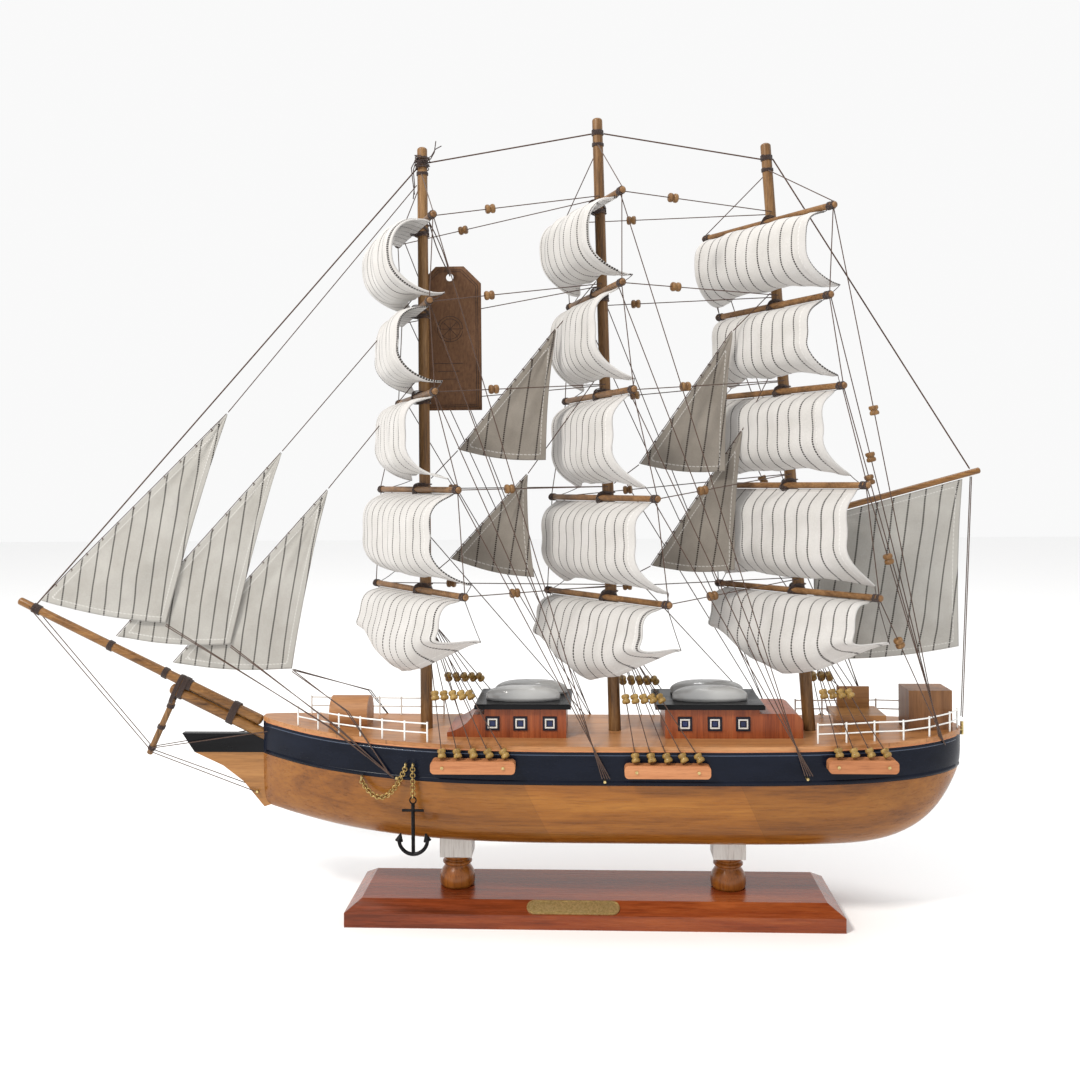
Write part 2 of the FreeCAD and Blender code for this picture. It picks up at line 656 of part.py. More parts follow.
# distance of the first brace from the stern, its drop below the deck edge, and the next ones' drop
MIZZEN_BRACE_FOOT = {PORT: (20, 0, 1.5), STARBOARD: (46, 0.5, 0.5)}
brace_blocks = []
deadeyes = []
for index, mast in enumerate(MASTS):
    quarter = {"fore": (8, 92), "main": (126, 94), "mizzen": None}[mast]
    for side in (PORT, STARBOARD):
        lift_low = yard_point(mast, 0, side) + Vector(0, 0, YARD_R + gap_end)
        thread(running, mast_side(mast, rope_z[mast] - 8, side), lift_low)
        for level in range(4):
            high = yard_point(mast, level, side) - Vector(0, 0, YARD_R + gap_end)
            low = yard_point(mast, level + 1, side) + Vector(0, 0, YARD_R + gap_end)
            thread(running, high, low)
        for level in range(5):
            here = yard_point(mast, level, side, 4.5)
            here = here - yard_front(mast, level) * (YARD_R + gap_end + 0.4)
            if mast != "mizzen":
                after = MASTS[index + 1]
                end = mast_side(after, level_size(after, "height", level) + 7, side)
                along = 0.32
            else:
                from_stern, first_drop, drop = MIZZEN_BRACE_FOOT[side]
                foot_x = STERN - from_stern + 1.2 * level
                end = Vector(foot_x, side * (half_breadth(foot_x) + 0.9),
                             deck_z(foot_x) - first_drop - drop * level)
                along = (0.38, 0.36, 0.26, 0.28, 0.3)[level]
            thread(running, here, end)
            brace_blocks.append(turned_bead(here + (end - here) * along, end - here,
                                            size("block_radius"), 5.6))
        if mast != "mizzen":
            for level in range(4):
                here = yard_point(mast, level, side, BACKSTAY_INBOARD[level])
                here = here - yard_front(mast, level) * (YARD_R + gap_end + 0.4)
                reach = side_y(quarter[0], quarter[1]) + 2.6
                end = Vector(quarter[0] + 1.5 * (level - 1), side * reach, quarter[1] + 1.8)
                thread(standing, here, end)

# shrouds with their beads, on three channels a side
CHANNELS = {"fore": (-69.5, 101, 50, 5), "main": (44.5, 99, 50, 5), "mizzen": (157.5, 102, 40, 4)}
SHROUD_TOP = {"fore": 190, "main": 186, "mizzen": 188}
SHROUD_PITCH = 1.6
BEAD_RISE = 31
CHANNEL_ROOT = 14
channel_parts = []
nail_parts = []
for mast, (station, z, length, count) in CHANNELS.items():
    for side in (PORT, STARBOARD):
        reach = max(half_breadth(station - length / 2), half_breadth(station + length / 2))
        box = Part.makeBox(length, size("channel_width") + CHANNEL_ROOT, size("channel_height"),
                           Vector(station - length / 2, 0, z - size("channel_height") / 2))
        box.translate(Vector(0, reach - CHANNEL_ROOT if side > 0 else -reach - size("channel_width"), 0))
        box = box.makeFillet(2.4, [e for e in box.Edges if abs(e.tangentAt(0).y) > 0.9])
        box = box.cut(hull_solid)
        channel_parts.append(max(box.Solids, key=lambda s: s.Volume))
        for end in (-1, 1):
            spot = Vector(station + end * length * 0.36, side * (reach + size("channel_width")), z)
            nail_parts.append(Part.makeCylinder(0.9, 0.7, spot, Vector(0, side, 0)))
        for i in range(count):
            spread = (i - (count - 1) / 2) * (length - 13) / (count - 1)
            top_z = SHROUD_TOP[mast] - SHROUD_PITCH * i
            top = mast_side(mast, top_z, side)
            low = Vector(station + spread, side * (reach + size("bead_radius") + 1),
                         z + size("channel_height") / 2)
            way = top - low
            tilt = math.acos(way.z / way.Length)
            low.z += size("bead_height") / 2 * math.cos(tilt) + size("bead_radius") * math.sin(tilt) + 0.3
            way = top - low
            high = low + way * (BEAD_RISE / way.z)
            deadeyes.append(turned_bead(low, way, size("bead_radius"), size("bead_height")))
            deadeyes.append(turned_bead(high, way, size("bead_radius"), size("bead_height")))
            thread(standing, low - way * (1.5 / way.Length), top)
coded("channels", Part.makeCompound(channel_parts))
coded("deadeyes", Part.makeCompound(deadeyes))
coded("brace_blocks", Part.makeCompound(brace_blocks))

# bowsprit stays
striker_end = striker_top + striker_dir * (size("striker_length") - 4)
cut_pin = Vector(BOW - 4, 0, keel_z(BOW) + 8)
for side in (PORT, STARBOARD):
    side_step = Vector(0, side * (size("striker_radius") + gap_end + 0.1), 0)
    tip_low = boom_tip - SPRIT_DIR * 9 + Vector(0, side * 3.1, 0)
    thread(standing, tip_low, striker_end + side_step)
    thread(standing, striker_end + side_step + Vector(0, 0, -1.2),
           cut_pin + Vector(-1.3, side * (knee_y + 1.5), 0))
    hull_spot = Vector(BOW + 4, side * (half_breadth(BOW + 4) + 0.9), deck_z(BOW) - 9)
    thread(standing, striker_end + side_step + Vector(1.2, side * 0.4, 1), hull_spot)

# sheets of the jibs, all to one eyelet a side
SHEET_PIN_Z = 92
eye_x = size("anchor_station") - 12
for i, side in ((0, PORT), (1, PORT), (2, PORT), (2, STARBOARD)):
    clew_y = (i - 1) * JIB_SPREAD + side
    for strand in (0, 1):
        clew = Vector(JIB_CLEWS[i][0] + 0.6, clew_y + side * strand, JIB_CLEWS[i][1] - 0.6 - strand)
        bend_x = BOW + 48 + 6 * i + 1.5 * strand
        over_rail = 15 if i == 2 else 4
        bend = Vector(bend_x, side * (half_breadth(bend_x) + 1.4), deck_z(bend_x) + over_rail)
        end_x = eye_x - 1.2 * i - 0.6 * strand
        end = Vector(end_x, side * (half_breadth(end_x) + 1.4), SHEET_PIN_Z + 0.8 * i)
        thread(running, clew, bend, end)

# stern lines below the gaff
for offset in (-1, 1):
    below_gaff = gaff_end - GAFF_DIR * 6.5 - GAFF_UP * (GAFF_R + gap_end + 0.1)
    thread(running, below_gaff + Vector(0, offset * 1.2, 0),
           Vector(STERN + 2.4, offset * 1.5, deck_z(STERN) + 5))
coded("standing_rigging", Part.makeCompound(standing + lashings))
coded("running_rigging", Part.makeCompound(running))

# ---------------------------------------------------------------- pins

for side in (PORT, STARBOARD):
    for x, z in ((8, 92), (126, 94), (eye_x + 1.8, SHEET_PIN_Z)):
        reach = side_y(x, z)
        nail = Part.makeCylinder(0.8, 4.2, Vector(x, side * (reach - 1), z), Vector(0, side, 0))
        nail_parts.append(nail.cut(hull_solid))
for side in (PORT, STARBOARD):
    cheek = cut_pin + Vector(0, side * knee_y, 0)
    nail_parts.append(Part.makeCylinder(0.8, 2.6, cheek, Vector(0, side, 0)))
stern_post = Part.makeCylinder(1, 8, Vector(STERN + 2.4, 0, deck_z(STERN) - 6))
stern_peg = Part.makeCylinder(0.8, 2.4, Vector(STERN, 0, deck_z(STERN) - 3), Vector(1, 0, 0))
nail_parts.append(stern_post.fuse(stern_peg))
EYE_Z = 100
EYE_R = 1.5
EYE_WIRE = 0.4
EYE_SHANK = 2.2
anchor_x = size("anchor_station")
eye_centres = []
for x, z in ((anchor_x, EYE_Z), (anchor_x - 4.5, EYE_Z), (anchor_x - 32, EYE_Z - 9)):
    root = Vector(x, 2 - side_y(x, z), z)
    centre = root - Vector(0, 2 + EYE_SHANK + EYE_R, 0)
    shank = Part.makeCylinder(0.6, 2 + EYE_SHANK, root, Vector(0, -1, 0)).cut(hull_solid)
    nail_parts.append(shank.fuse(Part.makeTorus(EYE_R, EYE_WIRE, centre, Vector(1, 0, 0))))
    eye_centres.append(centre)
coded("hull_pins", Part.makeCompound(nail_parts))

# ---------------------------------------------------------------- deck pieces

house_half = size("house_width") / 2
SEAT = 1


def seated_box(x, y, length, width, height):
    low = min(deck_z(x), deck_z(x + length)) - SEAT
    return Part.makeBox(length, width, height + SEAT, Vector(x, y, low))


def seat(shape):
    shape = shape.cut(hull_solid)
    return max(shape.Solids, key=lambda s: s.Volume)


fore_x = size("fore_house_station")
aft_x = size("aft_house_station")
house_h = size("house_height")
fore_box = seated_box(fore_x, -house_half, size("fore_house_length"), 2 * house_half, house_h)
coded("fore_house", seat(fore_box))
aft_box = seated_box(aft_x, -house_half, size("aft_house_length"), 2 * house_half, house_h)
wing = seated_box(aft_x + size("aft_house_length"), -house_half, size("aft_wing_length"),
                  2 * house_half, house_h - 3)
wing = wing.makeFillet(6, [e for e in wing.Edges
                           if e.CenterOfMass.z > DECK + 10 and abs(e.tangentAt(0).y) > 0.9
                           and e.CenterOfMass.x > aft_x + size("aft_house_length") + 5])
coded("aft_house", seat(aft_box.fuse(wing).removeSplitter()))
ramp_x = fore_x - 23
ramp = seated_box(ramp_x, -house_half, 23, 2 * house_half, 14)
scoop = Part.makeCylinder(24, 4 * house_half, Vector(ramp_x - 4, -2 * house_half, DECK + 27),
                          Vector(0, 1, 0))
coded("deck_ramp", seat(ramp.cut(scoop)))

over = size("roof_overhang")
roofs = []
for x, length in ((fore_x, size("fore_house_length")), (aft_x, size("aft_house_length"))):
    roof_z = min(deck_z(x), deck_z(x + length)) + house_h
    slab = Part.makeBox(length + 2 * over + 3, 2 * (house_half + over), size("roof_thickness"),
                        Vector(x - over - 3, -house_half - over, roof_z))
    roofs.append(slab.makeChamfer(0.8, [e for e in slab.Edges if e.CenterOfMass.z > roof_z + 2]))
coded("house_roofs", Part.makeCompound(roofs))

WINDOWS = (-60, -43, -25, 57, 75, 92)
win = size("window_size")
panes = []
for x in WINDOWS:
    for side in (PORT, STARBOARD):
        y = house_half if side > 0 else -house_half - size("window_thickness")
        panes.append(Part.makeBox(win, size("window_thickness"), win,
                                  Vector(x - win / 2, y, DECK + 5)))
coded("house_windows", Part.makeCompound(panes))


def ship_boat(x, y, roof):
    ball = Part.makeSphere(1, Vector())
    grow = FreeCAD.Matrix()
    grow.scale(size("boat_length") / 2, size("boat_width") / 2, size("boat_height"))
    ball = ball.transformGeometry(grow)
    ball.translate(Vector(x, y, 0))
    half = Part.makeBox(100, 60, 30, Vector(x - 50, y - 30, 0))
    boat = ball.common(half)
    boat.translate(Vector(0, 0, roof.BoundBox.ZMax))
    return boat


fore_mid = fore_x + size("fore_house_length") / 2
aft_mid = aft_x + size("aft_house_length") / 2
coded("ship_boats", Part.makeCompound([
    ship_boat(fore_mid - 2, -9, roofs[0]), ship_boat(fore_mid + 2, 10, roofs[0]),
    ship_boat(aft_mid, -9, roofs[1]), ship_boat(aft_mid, 10, roofs[1])]))

block_x = BOW + 44
log = Part.makeCylinder(11, 24, Vector(block_x, 0, deck_z(block_x) + 6), Vector(1, 0, 0))
coded("fore_block", seat(log))

bench_x = 149
legs = seat(seated_box(bench_x + 4, -14, 22, 24, 9))
slab_z = legs.BoundBox.ZMax
slab = Part.makeBox(30, 28, 3, Vector(bench_x, -16, slab_z))
board = Part.makeBox(20, 2, 13, Vector(bench_x + 6, 8, slab_z + 3))
coded("deck_bench", Part.makeCompound([legs, slab, board]))

stern_x = STERN - 7 - size("stern_box_length")
chest = seat(seated_box(stern_x, -size("stern_box_width") / 2, size("stern_box_length"),
                        size("stern_box_width"), size("stern_box_height")))
coded("stern_box", chest)


def side_rail(stations, side):
    wire = size("rail_wire_radius")
    tops = []
    pieces = []
    for x in stations:
        inset = size("rail_inset")
        if 0 < x < STERN - 45:
            inset += SHROUD_ROOM
        y = side * (half_breadth(x) - inset)
        foot = Vector(x, y, deck_z(x))
        top = foot + Vector(0, 0, size("rail_height"))
        pieces.append(rod(foot, top + Vector(0, 0, 1), wire * 1.25))
        tops.append(top)
    for drop in (0, size("rail_height") / 2):
        for start, end in zip(tops, tops[1:]):
            lower = Vector(0, 0, -drop)
            pieces.append(rod(start + lower, end + lower, wire))
    return pieces[0].multiFuse(pieces[1:]).cut(hull_solid)


SHROUD_ROOM = 3.5
FORE_POST_PITCH = 14
AFT_POST_PITCH = 17
fore_rail_x = [BOW + 26 + i * FORE_POST_PITCH for i in range(7)]
aft_rail_x = [STERN - 93 + i * AFT_POST_PITCH for i in range(5)] + [STERN - 10, STERN - 3]
rails = [side_rail(xs, side) for xs in (fore_rail_x, aft_rail_x) for side in (PORT, STARBOARD)]
coded("deck_rails", Part.makeCompound(rails))

# ---------------------------------------------------------------- anchor and chains

RING = size("chain_ring")
WIRE = size("chain_wire")
ANCHOR_EYE = 1.9
ANCHOR_WIRE = 0.4
LINK_PLAY = 0.12
PITCH = 2 * RING - 2 * WIRE - LINK_PLAY
CHAIN_LINKS = 10
LINK_DROP = EYE_R - EYE_WIRE + RING - WIRE - 0.06


def chain(points):
    """Rings along a line of points, each turned a quarter from the last.

    A curved line has an even number of spaces, so both of its end rings lie the same way."""
    line = Part.makePolygon(points)
    count = math.ceil(line.Length / PITCH - 0.001)
    if len(points) > 2:
        count = 2 * math.ceil(count / 2)
    spots = line.discretize(Number=count + 1)
    rings = []
    for index, (here, there) in enumerate(zip(spots, spots[1:] + [spots[-2]])):
        normal = Vector(0, 1, 0)
        if index % 2 == 1:
            normal = (there - here).cross(Vector(0, 1, 0))
        rings.append(Part.makeTorus(RING, WIRE, here, normal))
    return rings


first_link = eye_centres[0] - Vector(0, 0, LINK_DROP)
last_link = first_link - Vector(0, 0, PITCH * (CHAIN_LINKS - 1))
hang_links = chain([first_link, last_link])
coded("anchor_chain", Part.makeCompound(hang_links))

slack_start = eye_centres[1] + Vector(-0.3, 0, -LINK_DROP)
slack_end = eye_centres[2] + Vector(0.3, 0, -LINK_DROP)
SLACK_STEPS = 12
SLACK_SAG = 13
slack_points = []
for i in range(SLACK_STEPS + 1):
    share = i / SLACK_STEPS
    dip = SLACK_SAG * 4 * share * (1 - share)
    slack_points.append(slack_start + (slack_end - slack_start) * share - Vector(0, 0, dip))
coded("slack_chain", Part.makeCompound(chain(slack_points)))

anchor_top = last_link - Vector(0, 0, RING - WIRE + ANCHOR_EYE - ANCHOR_WIRE - 0.1)
crown = anchor_top - Vector(0, 0, size("anchor_length"))
arm_r = size("anchor_width") / 2
stock = anchor_top - Vector(0, 0, 6)
anchor_parts = [
    Part.makeTorus(ANCHOR_EYE, ANCHOR_WIRE, anchor_top, Vector(0, 1, 0)),
    rod(anchor_top - Vector(0, 0, 2), crown, 1.1),
    rod(stock - Vector(6.5, 0, 0), stock + Vector(6.5, 0, 0), 0.8),
    Part.makeTorus(arm_r, 1.1, crown + Vector(0, 0, arm_r), Vector(0, -1, 0)).common(
        Part.makeBox(4 * arm_r, 8, arm_r + 1.5, crown - Vector(2 * arm_r, 4, 1.5)))]
for end in (-1, 1):
    tip = crown + Vector(end * arm_r, 0, arm_r - 0.5)
    anchor_parts.append(Part.makeCone(2.4, 0.4, 4.5, tip, Vector(-end * 0.25, 0, 1)))
coded("anchor", anchor_parts[0].multiFuse(anchor_parts[1:]))

# ---------------------------------------------------------------- swing tag

tag_low = 314.5
tag_top = tag_low + size("tag_height")
tag_mid = -88
tag_y = 7
clip = size("tag_clip")
half_tag = size("tag_width") / 2
tag_corners = [Vector(tag_mid + x, tag_y - size("tag_thickness") / 2, z) for x, z in (
    (-half_tag, tag_low), (half_tag, tag_low), (half_tag, tag_top - clip),
    (half_tag - clip, tag_top), (clip - half_tag, tag_top), (-half_tag, tag_top - clip))]
card = Part.Face(Part.makePolygon(tag_corners + tag_corners[:1]))
card = card.extrude(Vector(0, size("tag_thickness"), 0))
hole_at = Vector(tag_mid, tag_y, tag_top - 7)
card = card.cut(Part.makeCylinder(2.4, 4, hole_at - Vector(0, 2, 0), Vector(0, 1, 0)))
string_end = TAG_LOOP_R + STRING_R + size("cloth_gap")
string_top = mast_at("fore", TAG_LOOP_Z) + Vector(string_end, string_end, 0) * math.sqrt(0.5)
strand = hole_at + Vector(0, 0, 1.5)
string = rod(strand - Vector(0, 1, 0), string_top, STRING_R).multiFuse([
    rod(strand + Vector(0, 1, 0), string_top, STRING_R),
    rod(strand - Vector(0, 1.2, 0), strand + Vector(0, 1.2, 0), STRING_R),
    Part.makeSphere(STRING_R, string_top)])
coded("swing_tag", Part.makeCompound([card, string]))

# ---------------------------------------------------------------- checks and export

DOC.recompute()
problems = []
for obj in DOC.Objects:
    if "Invalid" in obj.State or "Error" in obj.State:
        problems.append("%s is %s" % (obj.Name, obj.State))
for obj in NODES:
    if obj.Shape.isNull() or not obj.Shape.isValid():
        problems.append("%s has no valid shape" % obj.Label)
if problems:
    raise RuntimeError("; ".join(problems))
os.makedirs("parts", exist_ok=True)
for obj in NODES:
    obj.Shape.exportStep("parts/%s.step" % obj.Label)
print("%d nodes written" % len(NODES))
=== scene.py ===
import bmesh
import bpy
from functools import partialmethod
from math import atan2, copysign, cos, exp, pi, radians, sin, sqrt, tau
from mathutils import Matrix, Vector, noise


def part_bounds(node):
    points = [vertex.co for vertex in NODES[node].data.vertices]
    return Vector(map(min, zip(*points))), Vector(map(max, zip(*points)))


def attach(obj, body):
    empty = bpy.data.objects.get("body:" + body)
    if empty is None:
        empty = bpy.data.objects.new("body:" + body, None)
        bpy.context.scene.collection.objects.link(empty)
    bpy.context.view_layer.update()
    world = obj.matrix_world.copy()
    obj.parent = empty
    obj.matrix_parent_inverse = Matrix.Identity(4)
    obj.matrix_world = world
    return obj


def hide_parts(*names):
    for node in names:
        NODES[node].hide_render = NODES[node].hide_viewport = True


# Model sailing ship on its stand. Metres: +X to the stern, -Y to port, +Z up.

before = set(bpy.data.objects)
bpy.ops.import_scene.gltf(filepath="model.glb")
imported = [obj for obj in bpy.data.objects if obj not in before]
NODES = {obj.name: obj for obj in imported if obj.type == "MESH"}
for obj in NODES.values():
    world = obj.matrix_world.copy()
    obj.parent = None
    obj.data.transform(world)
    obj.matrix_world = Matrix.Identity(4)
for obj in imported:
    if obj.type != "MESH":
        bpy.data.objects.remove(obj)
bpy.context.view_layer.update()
ROOT = "ship"
MM = 0.001
MASTS = ("fore", "main", "mizzen")
SAIL_LEVELS = range(1, 6)
ALONG = Vector((1, 0, 0))
UP = Vector((0, 0, 1))


def new_object(name, data):
    obj = bpy.data.objects.new(name, data)
    bpy.context.scene.collection.objects.link(obj)
    return obj


def mean(points):
    return sum(points, Vector()) / len(points)


def drift(x, y, z):
    return noise.noise(Vector((x, y, z)))


# ---- camera

CAMERA_PLACE = Vector((1.25, -668, 270.7)) * MM
CAMERA_YAW = 0.048
CAMERA_ROLL = -0.008
CAMERA_LENS = 35.33
HORIZON_DROP = -0.0574

camera_data = bpy.data.cameras.new("camera")
camera_data.lens = CAMERA_LENS
camera_data.sensor_width = 36
camera_data.shift_y = HORIZON_DROP
camera = new_object("camera", camera_data)
right = Vector((cos(CAMERA_YAW), sin(CAMERA_YAW), 0))
ahead = Vector((-sin(CAMERA_YAW), cos(CAMERA_YAW), 0))
cam_x = right * cos(CAMERA_ROLL) + UP * sin(CAMERA_ROLL)
cam_y = UP * cos(CAMERA_ROLL) - right * sin(CAMERA_ROLL)
turned_camera = Matrix((cam_x, cam_y, -ahead)).transposed().to_4x4()
camera.matrix_world = Matrix.Translation(CAMERA_PLACE) @ turned_camera
bpy.context.scene.camera = camera


# ---- node helpers

class Shader:
    """A material's node tree, with short calls for the nodes used here."""

    def __init__(self, name):
        self.material = bpy.data.materials.new(name)
        self.material.use_nodes = True
        self.tree = self.material.node_tree
        self.bsdf = self.tree.nodes["Principled BSDF"]

    def node(self, kind, **inputs):
        made = self.tree.nodes.new("ShaderNode" + kind)
        for name, value in inputs.items():
            self.feed(made.inputs[name.replace("_", " ")], value)
        return made

    def feed(self, socket, value):
        if hasattr(value, "is_output"):
            self.tree.links.new(value, socket)
        else:
            socket.default_value = value

    def math(self, operation, first, second=0.0):
        made = self.tree.nodes.new("ShaderNodeMath")
        made.operation = operation
        self.feed(made.inputs[0], first)
        self.feed(made.inputs[1], second)
        return made.outputs[0]

    add = partialmethod(math, "ADD")
    sub = partialmethod(math, "SUBTRACT")
    mul = partialmethod(math, "MULTIPLY")
    div = partialmethod(math, "DIVIDE")
    less = partialmethod(math, "LESS_THAN")
    fract = partialmethod(math, "FRACT")

    def ramp(self, factor, stops):
        made = self.tree.nodes.new("ShaderNodeValToRGB")
        self.feed(made.inputs[0], factor)
        ramp = made.color_ramp
        while len(ramp.elements) < len(stops):
            ramp.elements.new(0.5)
        for element, (place, colour) in zip(ramp.elements, stops):
            element.position = place
            element.color = (*colour, 1)
        return made.outputs[0]

    def mix(self, factor, first, second, blend="MIX"):
        made = self.tree.nodes.new("ShaderNodeMix")
        made.data_type = "RGBA"
        made.blend_type = blend
        self.feed(made.inputs[0], factor)
        self.feed(made.inputs[6], first)
        self.feed(made.inputs[7], second)
        return made.outputs[2]

    def place(self, scale=(1, 1, 1)):
        coords = self.node("TexCoord")
        return self.node("Mapping", Scale=scale, Vector=coords.outputs["Object"]).outputs[0]

    def noise(self, vector, scale, detail=4.0, rough=0.55, distort=0.0):
        return self.node("TexNoise", Vector=vector, Scale=scale, Detail=detail,
                         Roughness=rough, Distortion=distort).outputs[0]

    def bump(self, height, strength, distance):
        made = self.node("Bump", Height=height, Strength=strength, Distance=distance)
        self.feed(self.bsdf.inputs["Normal"], made.outputs[0])

    def set(self, **inputs):
        for name, value in inputs.items():
            self.feed(self.bsdf.inputs[name.replace("_", " ")], value)


BOARD_SEAM = 0.1 * MM


def wood(name, dark, middle, light, along=0, rough=0.45, coat=0.0, ring=120.0, streak=0.3, boards=None):
    """Stained wood: long grain along one axis, fine pores, and boards glued side by side if asked."""
    shader = Shader(name)
    stretch = [1, 1, 1]
    stretch[along] = 0.06
    grain_place = shader.place(stretch)
    broad = shader.noise(grain_place, ring, 5, 0.6, 0.6)
    fine = shader.noise(grain_place, ring * 7, 3, 0.7)
    pores = shader.noise(grain_place, ring * 16, 2, 0.8)
    blend = shader.add(shader.mul(broad, 1 - streak), shader.mul(fine, streak))
    colour = shader.ramp(blend, ((0.32, dark), (0.5, middle), (0.68, light)))
    if boards:
        axis, width, slant, depth = boards
        coords = shader.node("SeparateXYZ", Vector=shader.place())
        run = shader.add(coords.outputs[axis], shader.mul(coords.outputs[2], slant))
        index = shader.math("FLOOR", shader.div(run, width))
        tone = shader.node("TexWhiteNoise")
        tone.noise_dimensions = "1D"
        shader.feed(tone.inputs["W"], index)
        shade = shader.add(shader.mul(tone.outputs[0], depth), 1 - depth)
        seam = shader.fract(shader.div(run, width))
        seam = shader.less(shader.math("ABSOLUTE", shader.sub(seam, 0.5)),
                           0.5 - BOARD_SEAM / width)
        shade = shader.mul(shade, shader.add(shader.mul(seam, 0.35), 0.65))
        grey = shader.node("CombineColor", Red=shade, Green=shade, Blue=shade).outputs[0]
        colour = shader.mix(1.0, colour, grey, "MULTIPLY")
    pore_tint = shader.ramp(pores, ((0.3, (0.55, 0.5, 0.48)), (0.5, (1, 1, 1))))
    colour = shader.mix(0.55, colour, pore_tint, "MULTIPLY")
    shader.set(Base_Color=colour, Coat_Weight=coat * 0.5, Coat_Roughness=0.12)
    shader.set(IOR=1.5, Specular_IOR_Level=0.28)
    wear = shader.ramp(fine, ((0.3, (rough * 0.8,) * 3), (0.7, (rough * 1.25,) * 3)))
    shader.set(Roughness=wear)
    shader.bump(shader.add(fine, pores), 0.25, 0.00012)
    return shader.material


def paint(name, colour, rough, coat=0.3, mottle=0.12, scale=60.0, gloss=0.5):
    """Brushed paint with faint streaks and a little unevenness in its gloss."""
    shader = Shader(name)
    patches = shader.noise(shader.place((0.3, 1, 1)), scale, 5, 0.6)
    low = tuple(c * (1 - mottle) for c in colour)
    high = tuple(min(1, c * (1 + mottle) + 0.003) for c in colour)
    shader.set(Base_Color=shader.ramp(patches, ((0.35, low), (0.65, high))))
    shader.set(Coat_Weight=coat, Coat_Roughness=0.1, Specular_IOR_Level=gloss)
    shader.set(Roughness=shader.ramp(patches, ((0.3, (rough * 0.75,) * 3), (0.7, (rough * 1.3,) * 3))))
    shader.bump(shader.noise(shader.place((0.15, 1, 1)), scale * 9, 3), 0.2, 0.00008)
    return shader.material


def metal(name, dark, light, rough, scale=300.0):
    shader = Shader(name)
    spots = shader.noise(shader.place(), scale, 6, 0.7)
    shader.set(Base_Color=shader.ramp(spots, ((0.35, dark), (0.62, light))), Metallic=0.9)
    shader.set(Roughness=shader.ramp(spots, ((0.3, (rough * 1.4,) * 3), (0.7, (rough * 0.8,) * 3))))
    shader.bump(spots, 0.3, 0.0001)
    return shader.material


def cord_material(name, dark, light):
    """Laid thread: slanting strands seen as fine light and dark bands."""
    shader = Shader(name)
    wave = shader.node("TexWave", Vector=shader.place(), Scale=900.0, Distortion=2.0, Detail=2.0)
    wave.bands_direction = "DIAGONAL"
    shader.set(Base_Color=shader.ramp(wave.outputs[1], ((0.2, dark), (0.8, light))))
    shader.set(Roughness=0.85, Sheen_Weight=0.25)
    shader.bump(wave.outputs[1], 0.5, 0.0001)
    return shader.material


STRIPE_GAP = 8.6 * MM
STRIPE_WIDTH = 1.0 * MM
HEM = 4.2 * MM
STITCH = 1.1 * MM


def cloth_material(name, light, shade, stripe, stripe_gap):
    """Woven cotton: fine weave, thin dashed stripes, and stitched hems read from the edge map."""
    shader = Shader(name)
    flat = shader.node("UVMap")
    flat.uv_map = "flat"
    edge = shader.node("UVMap")
    edge.uv_map = "edge"
    across = shader.node("SeparateXYZ", Vector=flat.outputs[0])
    rim = shader.node("SeparateXYZ", Vector=edge.outputs[0])
    u, v = across.outputs[0], across.outputs[1]
    inset = rim.outputs[0]
    wobble = shader.mul(shader.noise(flat.outputs[0], 45, 3), 0.0007)
    phase = shader.fract(shader.div(shader.add(u, wobble), stripe_gap))
    off = shader.math("ABSOLUTE", shader.sub(phase, 0.5))
    line = shader.less(off, STRIPE_WIDTH / stripe_gap / 2)
    dash = shader.math("GREATER_THAN", shader.fract(shader.div(v, 1.1 * MM)), 0.24)
    line = shader.mul(line, dash)
    seam = shader.math("ABSOLUTE", shader.sub(inset, HEM - 0.7 * MM))
    seam = shader.less(seam, 0.28 * MM)
    seam_dash = shader.fract(shader.div(shader.add(u, v), 2.3 * MM))
    seam = shader.mul(seam, shader.math("GREATER_THAN", seam_dash, 0.3))
    folded = shader.less(inset, HEM)
    blotch = shader.noise(flat.outputs[0], 30, 5, 0.6)
    colour = shader.ramp(blotch, ((0.35, shade), (0.62, light)))
    threads = shader.noise(shader.place(), 1500, 2, 0.6)
    thread_tint = shader.ramp(threads, ((0.4, (0.5, 0.5, 0.5)), (0.6, (1, 1, 1))))
    colour = shader.mix(0.16, colour, thread_tint, "MULTIPLY")
    hem_tone = tuple(c * 0.93 for c in light)
    colour = shader.mix(shader.mul(folded, 0.5), colour, (*hem_tone, 1))
    colour = shader.mix(line, colour, (*stripe, 1))
    colour = shader.mix(shader.mul(seam, 0.4), colour, (0.7, 0.69, 0.67, 1))
    warp = shader.math("SINE", shader.mul(u, tau / STITCH * 1.6))
    weft = shader.math("SINE", shader.mul(v, tau / STITCH * 1.6))
    weave = shader.add(shader.mul(warp, weft), shader.mul(threads, 1.4))
    height = shader.add(weave, shader.mul(seam, -2.5))
    shader.set(Base_Color=colour, Roughness=0.92, Sheen_Weight=0.3, Sheen_Roughness=0.5)
    shader.set(Specular_IOR_Level=0.2)
    shader.bump(height, 0.35, 0.00012)
    return shader.material


def colour_like(value):
    return isinstance(value, tuple) and len(value) == 3


